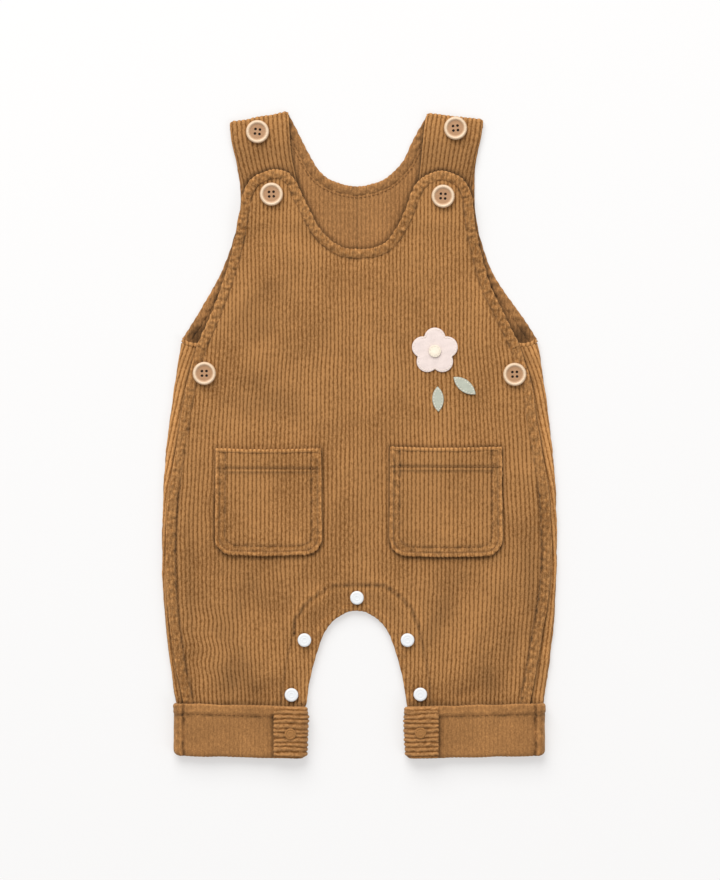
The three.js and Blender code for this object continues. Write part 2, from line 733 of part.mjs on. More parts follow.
function leafOutline({ x, y, length, width, turn }) {
  const side = (sign) =>
    Array.from({ length: 10 }, (_, step) => {
      const share = step / 10;
      return new THREE.Vector2(length * share, sign * (width / 2) * Math.sin(Math.PI * share) ** 0.8);
    });
  const points = [...side(-1), new THREE.Vector2(length, 0), ...side(1).slice(1).reverse()];
  const middle = new THREE.Vector2();
  const base = new THREE.Vector2(x, y);
  return points.map((point) => point.rotateAround(middle, degToRad(turn)).add(base));
}

// The whole garment

const overalls = new THREE.Group();
function add(name, shape, material, place = [0, 0, 0]) {
  const geometry = shape instanceof THREE.BufferGeometry ? shape : geometryOf(shape);
  const mesh = new THREE.Mesh(geometry, material);
  mesh.name = name;
  mesh.position.set(...place);
  overalls.add(mesh);
}

add('front', front, cloth);
add('back', back, cloth);
for (const side of ['left', 'right']) {
  add(`pocket_${side}`, pocket(pockets[side]), cloth);
  add(`cuff_${side}`, cuff(cuffs[side]), clothWrongSide);
  add(`cuff_facing_${side}`, cuffFacing(cuffs[side]), cloth);
}
for (const { name, x, y } of buttons) {
  const onStrap = name.includes('strap');
  const height = onStrap ? strapFold + gap : restOn(frontTopAt, x, y, button.radius);
  add(name, fourHoleButton(), wood, [x, y, height]);
}
for (const { name, x, y } of snaps) {
  add(name, cap(snap), whitePlastic, [x, y, restOn(frontTopAt, x, y, snap.radius)]);
}
for (const side of ['left', 'right']) {
  const height = cuffHeightAt(cuffSnap.y + cuffSnap.radius) + gap + facingWall + gap;
  add(`snap_cuff_${side}`, cap(cuffSnap), cloth, [cuffSnap[side], cuffSnap.y, height]);
}
add('patch_flower', ribbedWall(blossomOutline(blossom), aboveFront, appliqueWall, 0), pinkFelt);
const centre = cap({ radius: blossom.centreRadius, thickness: 1.2 });
const onBlossom = (x, y) => aboveFront(x, y) + appliqueWall;
const centreHeight = restOn(onBlossom, blossom.x, blossom.y, blossom.centreRadius);
add('patch_centre', centre, creamFelt, [blossom.x, blossom.y, centreHeight]);
for (const leaf of leaves) {
  add(leaf.name, ribbedWall(leafOutline(leaf), aboveFront, appliqueWall, 0), greenFelt);
}

export default overalls;
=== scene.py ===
"""Toddler overalls in brown corduroy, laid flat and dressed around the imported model.

Sizes inside the classes are millimetres in the model's own frame: X to the viewer's right, Y towards
the neck, Z up from the table. They become metres when a mesh is made.
"""

import logging
from dataclasses import dataclass, replace
from enum import Enum
from typing import Callable, Sequence

import bpy
import numpy as np
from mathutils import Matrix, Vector

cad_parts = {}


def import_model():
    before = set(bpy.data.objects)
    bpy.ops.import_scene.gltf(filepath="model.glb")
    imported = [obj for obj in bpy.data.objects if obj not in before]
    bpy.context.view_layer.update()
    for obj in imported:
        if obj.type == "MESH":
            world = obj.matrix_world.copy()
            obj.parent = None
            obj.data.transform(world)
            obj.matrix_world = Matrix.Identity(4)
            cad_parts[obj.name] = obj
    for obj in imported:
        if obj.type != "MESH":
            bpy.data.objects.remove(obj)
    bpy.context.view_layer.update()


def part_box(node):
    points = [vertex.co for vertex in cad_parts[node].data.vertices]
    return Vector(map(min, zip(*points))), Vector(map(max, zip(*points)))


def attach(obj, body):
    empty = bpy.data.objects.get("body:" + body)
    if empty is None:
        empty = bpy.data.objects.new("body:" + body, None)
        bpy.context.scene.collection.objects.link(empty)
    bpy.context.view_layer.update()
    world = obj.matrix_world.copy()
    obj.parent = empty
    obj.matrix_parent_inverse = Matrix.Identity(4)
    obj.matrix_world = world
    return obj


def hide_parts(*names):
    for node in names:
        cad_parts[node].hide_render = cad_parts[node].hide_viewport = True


log = logging.getLogger("overalls")

MM = 0.001
WALE = 3.16  # pitch of the corduroy's ribs
RIB_RISE = 0.62  # height of a rib over its valley
PANEL_WALL = 1.5
BACK_WALL = 1.8
GAP = 0.3
SIDE_FOLD = 4.8  # height of the back's cloth where it wraps round each side
LOFT = 4.1  # underside of the front over the middle of the body
STRAP_FOLD = 4.2
CUFF_TOP = -202.6
CUFF_HEM = -243.1
LEG_END = -239.0
SIDE_OPENING = 68.5
STRAP_END = 166.0
FLAP_UNDER_FRONT = 8.5
WALE_LEAN = 0.4
WIDEST_FRONT = 145.0

Array = np.ndarray
Height = Callable[[Array, Array], Array]


class Slot(Enum):
    """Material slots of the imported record."""

    CORDUROY = "corduroy"
    WRONG_SIDE = "cloth_wrong_side"
    WOOD = "button_wood"
    WHITE = "snap_white"
    BROWN = "snap_brown"
    PINK = "patch_pink"
    CREAM = "patch_cream"
    GREEN = "patch_green"


def smoothstep(value: Array, low: float, high: float) -> Array:
    """A soft step from 0 at low to 1 at high."""
    share = np.clip((np.asarray(value, dtype=float) - low) / (high - low), 0.0, 1.0)
    return share * share * (3.0 - 2.0 * share)


def waves(x: Array, y: Array, length: float, seed: int, count: int = 7) -> Array:
    """Smooth random hills between about -1 and 1.

    The sum of a few sine waves in seeded directions, with wavelengths round the given one.

    Args:
        x: First coordinate of each point.
        y: Second coordinate of each point.
        length: Usual wavelength, in the units of x and y.
        seed: Seed of the directions and phases.
        count: Number of waves.

    Returns:
        The height at each point.
    """
    draw = np.random.default_rng(seed)
    total = np.zeros(np.broadcast(x, y).shape)
    for _ in range(count):
        turn = draw.uniform(0.0, np.pi)
        pace = 2.0 * np.pi / (length * draw.uniform(0.6, 1.6))
        total = total + np.sin(pace * (x * np.cos(turn) + y * np.sin(turn)) + draw.uniform(0.0, 2.0 * np.pi))
    return total / np.sqrt(count)


@dataclass(frozen=True)
class Levels:
    """A table of widths by level y, from high to low, read on a smooth curve through its rows."""

    y: tuple[float, ...]
    value: tuple[float, ...]

    def at(self, y: Array) -> Array:
        """The value at each level: a cubic through the rows, with slopes taken over their neighbours.

        Args:
            y: Places along Y, in millimetres.

        Returns:
            The value at each level.
        """
        level = np.asarray(self.y)
        value = np.asarray(self.value)
        y = np.asarray(y, dtype=float)
        count = len(level)
        row = np.clip(np.searchsorted(-level, -y, side="left") - 1, 0, count - 2)
        before = np.maximum(np.arange(count) - 1, 0)
        after = np.minimum(np.arange(count) + 1, count - 1)
        slope = (value[after] - value[before]) / (level[before] - level[after])
        step = level[row] - level[row + 1]
        t = np.clip((level[row] - y) / step, 0.0, 1.0)
        return (
            (2 * t**3 - 3 * t**2 + 1) * value[row]
            + (t**3 - 2 * t**2 + t) * step * slope[row]
            + (3 * t**2 - 2 * t**3) * value[row + 1]
            + (t**3 - t**2) * step * slope[row + 1]
        )


def spline(points: Sequence[tuple[float, ...]], spacing: float) -> Array:
    """Evenly spaced points on a smooth curve through a few given ones.

    Each span is a Catmull-Rom cubic: at share t it is half of 2b + (c - a)t + (2a - 5b + 4c - d)t^2 +
    (3b - a - 3c + d)t^3 for the four points a, b, c, d round it.

    Args:
        points: The given points, with two or three coordinates each.
        spacing: Distance between the points returned.

    Returns:
        An array with a row for each point.
    """
    knots = np.asarray(points, dtype=float)
    last = len(knots) - 1
    place = np.linspace(0.0, last, last * 24 + 1)
    span = np.minimum(place.astype(int), last - 1)
    t = (place - span)[:, None]
    a, b = knots[np.maximum(span - 1, 0)], knots[span]
    c, d = knots[span + 1], knots[np.minimum(span + 2, last)]
    fine = 0.5 * (2 * b + (c - a) * t + (2 * a - 5 * b + 4 * c - d) * t**2 + (3 * b - a - 3 * c + d) * t**3)
    return respaced(fine, spacing)


def respaced(line: Array, spacing: float) -> Array:
    """The same line with evenly spaced points.

    Args:
        line: Points of the line, in millimetres.
        spacing: Distance between points, in millimetres.

    Returns:
        The new points.
    """
    run = np.concatenate([[0.0], np.cumsum(np.linalg.norm(np.diff(line, axis=0), axis=1))])
    even = np.linspace(0.0, run[-1], max(3, int(round(run[-1] / spacing)) + 1))
    return np.stack([np.interp(even, run, line[:, axis]) for axis in range(line.shape[1])], axis=1)


def distance_to(line: Array, x: Array, y: Array) -> Array:
    """Distance from each point to a line of straight stretches.

    Args:
        line: Points of the line, in millimetres.
        x: Places along X, in millimetres.
        y: Places along Y, in millimetres.

    Returns:
        Distance at each place, in millimetres.
    """
    points = np.stack([np.ravel(x), np.ravel(y)], axis=1)
    start, step = line[:-1, :2], np.diff(line[:, :2], axis=0)
    length = np.maximum((step**2).sum(axis=1), 1e-12)
    nearest = np.empty(len(points))
    block = 20000
    for first in range(0, len(points), block):
        off = points[first : first + block, None, :] - start[None]
        share = np.clip((off * step).sum(axis=2) / length, 0.0, 1.0)
        nearest[first : first + block] = np.sqrt(
            ((off - share[..., None] * step) ** 2).sum(axis=2).min(axis=1)
        )
    return nearest.reshape(np.shape(x))


def is_inside(outline: Array, x: Array, y: Array) -> Array:
    """True for each point inside a closed outline, counted by the edges that a ray to the right crosses.

    Args:
        outline: Corners of the outline, in millimetres.
        x: Places along X, in millimetres.
        y: Places along Y, in millimetres.

    Returns:
        True at each place inside.
    """
    px, py = np.ravel(x), np.ravel(y)
    inside = np.zeros(px.shape, dtype=bool)
    ends = np.roll(outline, -1, axis=0)
    for (x0, y0), (x1, y1) in zip(outline[:, :2], ends[:, :2]):
        if y0 == y1:
            continue
        crosses = (y0 > py) != (y1 > py)
        inside ^= crosses & (px < (x1 - x0) * (py - y0) / (y1 - y0) + x0)
    return inside.reshape(np.shape(x))


@dataclass
class Surface:
    """Points, faces and cloth coordinates of a mesh being made, in millimetres."""

    points: Array
    faces: Array
    cloth: Array
    shade: Array | None = None  # painted shade and light at each point, as the share of colour lost or won
    worn: Array | None = None  # how flat the ribs are pressed at each point, 0 to 1

    def shaded(self, shade: Height, worn: Height | None = None) -> "Surface":
        """The same surface with its painted shade and light, and its pile's wear, given for x and y."""
        x, y = self.points[:, 0], self.points[:, 1]
        return replace(self, shade=shade(x, y), worn=worn(x, y) if worn else None)

    def joined(self, *others: "Surface") -> "Surface":
        """This surface and others as one.

        Returns:
            The one surface.
        """
        parts = [self, *others]
        starts = np.cumsum([0] + [len(part.points) for part in parts[:-1]])
        return Surface(
            np.concatenate([part.points for part in parts]),
            np.concatenate([part.faces + start for part, start in zip(parts, starts)]),
            np.concatenate([part.cloth for part in parts]),
            np.concatenate(
                [np.zeros(len(part.points)) if part.shade is None else part.shade for part in parts]
            ),
            np.concatenate(
                [np.zeros(len(part.points)) if part.worn is None else part.worn for part in parts]
            ),
        )

    def facing_out(self) -> "Surface":
        """The same closed surface with its faces turned outwards, by the sign of its volume.

        Returns:
            The surface with its faces outwards.
        """
        a, b, c, d = (self.points[self.faces[:, corner]] for corner in range(4))
        volume = (a * np.cross(b, c)).sum() + (a * np.cross(c, d)).sum()
        return self if volume > 0 else replace(self, faces=self.faces[:, ::-1])


def make_object(
    name: str, surface: Surface, material: bpy.types.Material, smooth: bool = True
) -> bpy.types.Object:
    """Puts a surface into a new mesh object at the origin, with the cloth coordinates as its UV map.

    Args:
        name: Name of the object.
        surface: Points in millimetres and four-cornered faces.
        material: Its material.
        smooth: Whether its faces are shaded smooth.

    Returns:
        The object, linked into the scene.
    """
    mesh = bpy.data.meshes.new(name)
    count, faces = len(surface.points), len(surface.faces)
    mesh.vertices.add(count)
    mesh.vertices.foreach_set("co", (surface.points * MM).astype(np.float32).ravel())
    mesh.loops.add(faces * 4)
    mesh.loops.foreach_set("vertex_index", surface.faces.astype(np.int32).ravel())
    mesh.polygons.add(faces)
    mesh.polygons.foreach_set("loop_start", np.arange(0, faces * 4, 4, dtype=np.int32))
    mesh.polygons.foreach_set("use_smooth", np.full(faces, smooth))
    uv = mesh.uv_layers.new(name="cloth")
    uv.data.foreach_set("uv", surface.cloth[surface.faces.ravel()].astype(np.float32).ravel())
    for title, values in (("shade", surface.shade), ("worn", surface.worn)):
        if values is not None:
            layer = mesh.attributes.new(title, "FLOAT", "POINT")
            layer.data.foreach_set("value", values.astype(np.float32))
    mesh.update(calc_edges=True)
    mesh.validate()
    mesh.materials.append(material)
    made = bpy.data.objects.new(name, mesh)
    bpy.context.scene.collection.objects.link(made)
    return made


def grid_faces(rows: int, columns: int, start: int = 0, around: bool = False) -> Array:
    """Faces of a grid of points, row after row, closed across its columns where around is true.

    Args:
        rows: Number of rows.
        columns: Number of columns.
        start: Number of the first point.
        around: Whether the last column joins the first.

    Returns:
        Four point numbers for each face.
    """
    row, column = np.meshgrid(
        np.arange(rows - 1), np.arange(columns if around else columns - 1), indexing="ij"
    )
    beside = (column + 1) % columns
    corner = [row * columns + column, row * columns + beside,
        (row + 1) * columns + beside, (row + 1) * columns + column]
    return np.stack([item.ravel() for item in corner], axis=1) + start


def shell(outer: Array, inner: Array, cloth: Array) -> Surface:
    """The closed wall between two grids of points of the same size.

    Args:
        outer: Points of the outer side, as rows by columns by three.
        inner: Points of the inner side.
        cloth: Cloth coordinates of both, as rows by columns by two.

    Returns:
        The closed surface, facing outwards.
    """
    rows, columns = outer.shape[:2]
    half = rows * columns
    front = grid_faces(rows, columns)
    back = front[:, ::-1] + half
    index = np.arange(half).reshape(rows, columns)
    rims = []
    for edge in (index[0], index[-1][::-1], index[::-1, 0], index[:, -1]):
        rims.append(np.stack([edge[1:], edge[:-1], edge[:-1] + half, edge[1:] + half], axis=1))
    return Surface(
        np.concatenate([outer.reshape(-1, 3), inner.reshape(-1, 3)]),
        np.concatenate([front, back, *rims]),
        np.concatenate([cloth.reshape(-1, 2)] * 2),
    ).facing_out()


def sweep(line: Array, section: Callable[[Array, Array], tuple[Array, Array]], steps: int) -> Surface:
    """A closed band carried along a line on the cloth.

    Every point of the line carries the same number of section points, which the section function gives
    for its place along the line and round the section. Its two ends are closed by a last flat face row.

    Args:
        line: Points of the line, one row each.
        section: Takes the line's point numbers and the section's point numbers as two grids, and returns
            the points and the cloth coordinates.
        steps: Points round the section.

    Returns:
        The closed surface.
    """
    along, round_it = np.meshgrid(np.arange(len(line)), np.arange(steps), indexing="ij")
    points, cloth = section(along, round_it)
    faces = grid_faces(len(line), steps, around=True)
    ends = []
    for row in (0, len(line) - 1):
        first = row * steps
        for step in range(steps // 2 - 1):
            ends.append([first + step, first + step + 1, first + steps - 2 - step, first + steps - 1 - step])
    cap = np.asarray(ends)
    cap[: len(cap) // 2] = cap[: len(cap) // 2, ::-1]
    return Surface(points.reshape(-1, 3), np.concatenate([faces, cap]), cloth.reshape(-1, 2)).facing_out()


# Shapes of the garment


@dataclass(frozen=True)
class Cut:
    """The outlines of the garment's pieces, as a maker would draw them on the laid-out garment."""

    front_left: Levels = Levels(
        (67, 41, 11, -19, -49, -94, -124, -154, -178, -202, -239),
        (-122.0, -129.0, -134.3, -139.1, -143.8, -145.3, -144.2, -140.9, -137.0, -132.0, -130.5),
    )
    front_right: Levels = Levels(
        (67, 41, 11, -19, -49, -94, -124, -154, -178, -202, -239),
        (120.0, 128.4, 133.0, 138.2, 142.6, 144.2, 141.3, 136.3, 132.2, 128.0, 126.5),
    )
    back_half: Levels = Levels(
        (72, 56, 26, -4, -34, -64, -94, -124, -154, -184, -203),
        (133.2, 136.2, 140.6, 144.0, 147.0, 148.1, 148.1, 147.0, 144.4, 140.6, 137.8),
    )
    leg_gap: Levels = Levels(
        (-134.5, -138.7, -146.2, -153.7, -168.7, -183.7, -198.7), (10.0, 16.6, 22.8, 26.4, 31.2, 34.9, 37.2)
    )
    leg_gap_middle: float = -2.3
    leg_gap_top: float = -132.6
    leg_gap_in_cuff: float = 40.6
    front_top: tuple[tuple[float, float], ...] = (
        (-122.0, 67.0), (-110.5, 93.0), (-102.0, 116.5), (-95.5, 139.0), (-90.0, 167.0),
        (-87.3, 181.0), (-80.0, 193.0), (-63.5, 199.2), (-50.5, 194.0),
        (-41.5, 177.0), (-29.5, 154.5), (-15.0, 142.0), (-2.0,
        139.6), (11.5, 141.0), (22.0, 147.0), (32.0, 163.5),
        (39.5, 183.0), (46.0, 192.0), (60.5, 198.2), (76.0, 193.0), (83.7, 181.0),
        (85.5, 168.0), (89.0, 146.0), (98.0, 113.0), (106.5, 95.0), (120.0, 67.0),
    )
    armhole_left: tuple[tuple[float, float], ...] = (
        (-133.2, 72.0), (-119.6, 93.8), (-103.1, 123.8), (-92.8, 153.8),
        (-89.2, 178.0), (-92.6, 206.3), (-97.5, 233.0),
    )
    armhole_right: tuple[tuple[float, float], ...] = (
        (133.2, 72.0), (124.1, 86.3), (103.1, 116.3), (93.4, 138.8),
        (87.4, 165.0), (87.0, 200.0), (93.0, 235.0),
    )
    neck: tuple[tuple[float, float], ...] = (
        (-53.0, 240.6), (-46.9, 228.8), (-39.4, 213.8), (-30.4, 198.8), (-19.9, 191.0), (-1.9, 186.8),
        (16.1, 191.0), (26.6, 198.8), (33.4, 207.0), (40.1, 221.3), (50.2, 239.4),
    )
    # Each strap's front layer from its fold down: outer x and y, inner x and y.
    strap_left: tuple[tuple[float, float, float, float], ...] = (
        (-97.3, 234.9, -53.4, 243.1), (-96.2, 221.0, -52.6, 229.0), (-92.4, 205.0, -50.8, 208.0),
        (-88.6, 190.0, -47.2, 190.0), (-86.0, STRAP_END, -45.0, STRAP_END),
    )
    strap_right: tuple[tuple[float, float, float, float], ...] = (
        (92.8, 236.6, 50.4, 241.8), (91.4, 224.0, 48.4, 228.8), (87.0, 205.0, 46.4, 208.0),
        (84.0, 190.0, 44.6, 190.0), (82.0, STRAP_END, 43.0, STRAP_END),
    )

    def side_line(self, levels: Levels, high: float, low: float, spacing: float = 3.0) -> Array:
        """Points down one side of the garment between two levels."""
        y = np.linspace(high, low, max(3, int((high - low) / spacing)))
        return np.stack([levels.at(y), y], axis=1)

    def gap_side(self, side: int, spacing: float = 2.0) -> Array:
        """Points down one edge of the gap between the legs, from its round top to the cuff."""
        y = np.linspace(-134.5, CUFF_TOP + 3, int(66 / spacing))
        return np.stack([self.leg_gap_middle + side * self.leg_gap.at(y), y], axis=1)

    def gap_line(self) -> Array:
        """The whole edge of the gap, from the left cuff over its top to the right cuff.

        Returns:
            Points of the edge, in millimetres.
        """
        across = np.array([-7, -3.5, 0, 3.5, 7])
        top = np.stack([self.leg_gap_middle + across, self.leg_gap_top + 0.7 - 0.0185 * across**2], axis=1)
        line = np.concatenate([self.gap_side(-1)[::-1], top, self.gap_side(1)])
        return respaced(line, 1.0)

    def inseam(self) -> Array:
        """The edge of the gap with a stretch at each end that runs on inside the cuff.

        Returns:
            Points of the edge, in millimetres.
        """
        tail = np.array([[37.7, -202.0], [38.1, -203.4], [40.0, -204.8], [40.9, -207.0], [40.9, -212.0]])
        left = np.stack([self.leg_gap_middle - tail[:, 0], tail[:, 1]], axis=1)[::-1]
        right = np.stack([self.leg_gap_middle + tail[:, 0], tail[:, 1]], axis=1)
        return respaced(np.concatenate([left, self.gap_line(), right]), 0.7)

    def in_cuff(self, side: int) -> Array:
        """The inner edge of a leg inside its cuff, from the cuff's top down."""
        x = self.leg_gap_middle + side * self.leg_gap_in_cuff
        return np.array([[x, CUFF_TOP - 0.2], [x, LEG_END]])

    def front_outline(self) -> Array:
        """The closed outline of the front, clockwise from the left side opening."""
        return np.concatenate([
            spline(self.front_top, 1.0),
            self.side_line(self.front_right, 66, LEG_END),
            self.in_cuff(1)[::-1],
            self.gap_line()[::-1],
            self.in_cuff(-1),
            self.side_line(self.front_left, 66, LEG_END)[::-1],
        ])

    def back_outline(self) -> Array:
        """The closed outline of the back's flat part with the lower layer of both straps.

        Returns:
            Points of the outline, in millimetres.
        """
        y = np.linspace(70, CUFF_TOP + 0.8, 90)
        inset = (SIDE_FOLD / 2 + 0.5) * smoothstep(71 - y, 0, 4)
        side = np.stack([self.back_half.at(y) - inset, y], axis=1)
        foot = np.array([[132.8, CUFF_TOP - 0.2], [132.8, LEG_END]])
        mirror = np.array([-1.0, 1.0])
        return np.concatenate([
            spline(self.armhole_left, 1.5),
            spline(self.neck, 1.5),
            spline(self.armhole_right, 1.5)[::-1],
            side,
            foot,
            self.in_cuff(1)[::-1],
            self.gap_line()[::-1],
            self.in_cuff(-1),
            (foot * mirror)[::-1],
            (side * mirror)[::-1],
        ])


# Soft folds of the front: a ridge or a trough along a line from x1, y1 to x2, y2, with its half width
# and its rise.
FOLDS = (
    (-56, 135, -103, 83, 15, 1.2),
    (-67, 104, -109, 62, 12, -1.0),
    (-28, 89, -82, 50, 16, 1.2),
    (-109, 33, -79, 32, 13, -1.1),
    (-79, 32, -43, 5, 13, -1.1),
    (105, 30, 83, 4, 14, -0.9),
    (2, 11, -7, -94, 22, 0.8),
    (-118, -109, -70, -178, 13, 1.5),
    (-97, -103, -64, -139, 12, -1.1),
    (-108, -161, -79, -199, 14, -1.7),
    (-126, -142, -120, -172, 9, -0.9),
    (-22, -116, -52, -142, 12, 1.0),
    (104, -112, 77, -181, 13, 1.5),
    (80, -109, 59, -142, 12, -1.1),
    (112, -170, 83, -199, 14, -1.7),
    (123, -131, 120, -161, 10, -0.9),
    (19, -116, 45, -142, 12, 1.0),
)


# Painted shade and light on the front, over its folds and near its sides and each cuff: x, y, half width,
# half length, heading in degrees of its length, and the share of light lost or won.
PAINTED_SHADE_AND_LIGHT = (
    (-76, 80, 9, 18, 40, -0.17),
    (-74, 24, 9, 22, 5, -0.22),
    (-90, -125, 9, 20, 60, -0.15),
    (60, -139, 9, 24, 65, -0.22),
    (-96, -183, 11, 15, 80, -0.34),
    (-80, -192, 6, 10, 80, -0.18),
    (98, -184, 10, 14, 100, -0.28),
    (112, -156, 8, 18, 75, -0.18),
    (128, -110, 6, 36, 92, -0.17),
    (-127, -120, 5, 70, 90, -0.12),
    (8, -30, 7, 22, 90, -0.08),
    (53, -28, 8, 30, 0, -0.1),
    (-30, -122, 9, 9, 0, 0.13),
    (90, 106, 7, 12, 110, 0.12),
    (30, 40, 14, 60, 80, -0.05),
    (-95, -95, 42, 72, 0, -0.07),
    (100, -90, 42, 90, 0, -0.095),
    (-70, 95, 30, 40, 0, -0.05),
)


def painted_spots(spots: Sequence[tuple[float, ...]], x: Array, y: Array) -> Array:
    """Painted shade and light of spots: each spot's share times exp(-a^2 - b^2), for a and b in its half
    sizes.

    Args:
        spots: Rows of middle, half sizes, heading in degrees and share.
        x: Places along X, in millimetres.
        y: Places along Y, in millimetres.

    Returns:
        Shade at each place.
    """
    total = np.zeros(np.shape(x))
    for cx, cy, wide, long, heading, share in spots:
        c, s = np.cos(np.radians(heading)), np.sin(np.radians(heading))
        along, across = (x - cx) * c + (y - cy) * s, (y - cy) * c - (x - cx) * s
        total = total + share * np.exp(-((along / long) ** 2) - (across / wide) ** 2)
    return total


def near(away: Array, reach: float) -> Array:
    """1 on a line and falling off to 0 beside it: exp(-(away / reach)^2)."""
    return np.exp(-((away / reach) ** 2))


class Lay:
    """How the garment lies: the height of each layer above the table, and where its wales run."""

    def __init__(self, cut: Cut) -> None:
        """Keeps the outlines that the heights depend on.

        Args:
            cut: The garment's outlines.
        """
        self.cut = cut
        upper = spline(cut.front_top, 3.0)
        self.loose = upper[upper[:, 1] > 80]
        self.gap = respaced(cut.gap_line(), 3.0)

    @staticmethod
    def lifted_back(y: Array) -> Array:
        """Rise of the back over each cuff's floor layer."""
        return (BACK_WALL + GAP) * smoothstep(-np.asarray(y), 190, 201.5)

    def back_top(self, y: Array) -> Array:
        """Upper side of the back's flat part."""
        return self.lifted_back(y) + BACK_WALL

    def front_edge(self, x: Array, y: Array) -> Array:
        """Distance from the middle to the front's side edge on the side where x lies."""
        return np.where(np.asarray(x) < 0, -self.cut.front_left.at(y), self.cut.front_right.at(y))

    def side_support(self, x: Array, y: Array) -> Array:
        """Top of the wrapped side under the front, falling away past its inner edge.

        Args:
            x: Places along X, in millimetres.
            y: Places along Y, in millimetres.

        Returns:
            Height at each place, in millimetres.
        """
        inside = np.maximum(0, self.front_edge(x, y) - FLAP_UNDER_FRONT - 6 - np.abs(x))
        beyond = np.maximum(0, np.maximum(y - SIDE_OPENING - 3, CUFF_TOP - 2 - y))
        return SIDE_FOLD + self.lifted_back(y) * 0.6 - 0.09 * np.hypot(inside, beyond * 1.4)

    def strap_support(self, x: Array, y: Array) -> Array:
        """Top of the strap ends under the tabs.

        Args:
            x: Places along X, in millimetres.
            y: Places along Y, in millimetres.

        Returns:
            Height at each place, in millimetres.
        """
        inner = np.where(np.asarray(x) < 0, 45.0, 43.0) - 7
        outer = np.where(np.asarray(x) < 0, 96.2, 91.4)
        aside = np.maximum(0, np.maximum(inner - np.abs(x), np.abs(x) - outer))
        below = np.maximum(0, STRAP_END - 8 - y)
        return STRAP_FOLD + 0.6 - 0.16 * np.hypot(aside, below)

    def folds(self, x: Array, y: Array) -> Array:
        """The soft folds: for each, its rise times exp(-1.6 d^2) for the distance d in half widths.

        Args:
            x: Places along X, in millimetres.
            y: Places along Y, in millimetres.

        Returns:
            Rise at each place, in millimetres.
        """
        height = np.zeros(np.shape(x))
        for x1, y1, x2, y2, reach, rise in FOLDS:
            away = distance_to(np.array([[x1, y1], [x2, y2]], dtype=float), x, y) / reach
            height = height + rise * np.exp(-1.6 * away * away)
        return height

    def front_bottom(self, x: Array, y: Array) -> Array:
        """Underside of the front: on the sides, straps and edges, and lofted between them.

        Args:
            x: Places along X, in millimetres.
            y: Places along Y, in millimetres.

        Returns:
            Height at each place, in millimetres.
        """
        x, y = np.asarray(x, dtype=float), np.asarray(y, dtype=float)
        edge = np.minimum(distance_to(self.loose, x, y), distance_to(self.gap, x, y))
        share = smoothstep(edge, 0, 22)
        low = self.back_top(y) + GAP + 0.3
        high = np.maximum(LOFT, low + 0.4) + self.folds(x, y) * smoothstep(y, -206, -196)
        heights = [
            low + (high - low) * share,
            self.side_support(x, y) + GAP + 0.1,
            self.strap_support(x, y) + GAP,
            self.back_top(y) + GAP,
        ]
        return np.maximum.reduce(heights)

    def front_ground(self, x: Array, y: Array) -> Array:
        """Upper side of the front without its ribs, with the small uneven dips of soft cloth.

        Args:
            x: Places along X, in millimetres.
            y: Places along Y, in millimetres.

        Returns:
            Height at each place, in millimetres.
        """
        soft = 0.3 * waves(x, y, 42, 5) + 0.13 * waves(x, y, 15, 6)
        slack = 0.45 * self.folds(x, y) * smoothstep(y, -206, -190)
        over_cuff = 0.9 * smoothstep(-184 - y, 0, 15)
        return self.front_bottom(x, y) + PANEL_WALL + soft + slack - over_cuff

    def cloth_of(self, x: Array, y: Array) -> Array:
        """The cloth's own coordinate across the wales, in millimetres, at a place on the front.

        The wales lean with the side edges, so x is divided by 1 + lean (edge / widest - 1). A slow
        sideways drift of under a millimetre makes them as uneven as soft cloth, with more of it low on
        the left leg.

        Args:
            x: Places along X, in millimetres.
            y: Places along Y, in millimetres.

        Returns:
            Distance across the wales at each place, in millimetres.
        """
        edge = self.cut.front_right.at(np.clip(y, -200, 67))
        drift = 0.4 * waves(x, y, 60, 11) + 0.16 * waves(x, y * 0.6, 17, 12) + 0.9 * np.exp(
            -(((x + 115) / 22) ** 2) - (((y + 158) / 34) ** 2)
        ) * np.sin(2 * np.pi * (y + 0.25 * x) / 23)
        return x / (1 + WALE_LEAN * (edge / WIDEST_FRONT - 1)) + drift


def rib(across: Array, along: Array, seed: int = 3) -> Array:
    """Height of the corduroy's ribs over their valleys, from 0 to RIB_RISE.

    The rib is |cos(pi across / wale)| to the power 0.8, so its top is round and its valley narrow. Its
    height changes a little from place to place, as a brushed pile does.

    Args:
        across: Distance across the wales, in millimetres.
        along: Distance along them.
        seed: Seed of the uneven pile.

    Returns:
        The height at each point.
    """
    wave = np.abs(np.cos(np.pi * across / WALE)) ** 0.8
    uneven = 0.2 * waves(across * 0.6, along, 9, seed) + 0.14 * waves(across, along, 4, seed + 1)
    by_wale = 0.17 * waves(across * 0.9, along * 0.12, 6, seed + 2)
    return RIB_RISE * wave * np.clip(1.0 + uneven + by_wale, 0.2, 1.5)


# Ways to make cloth


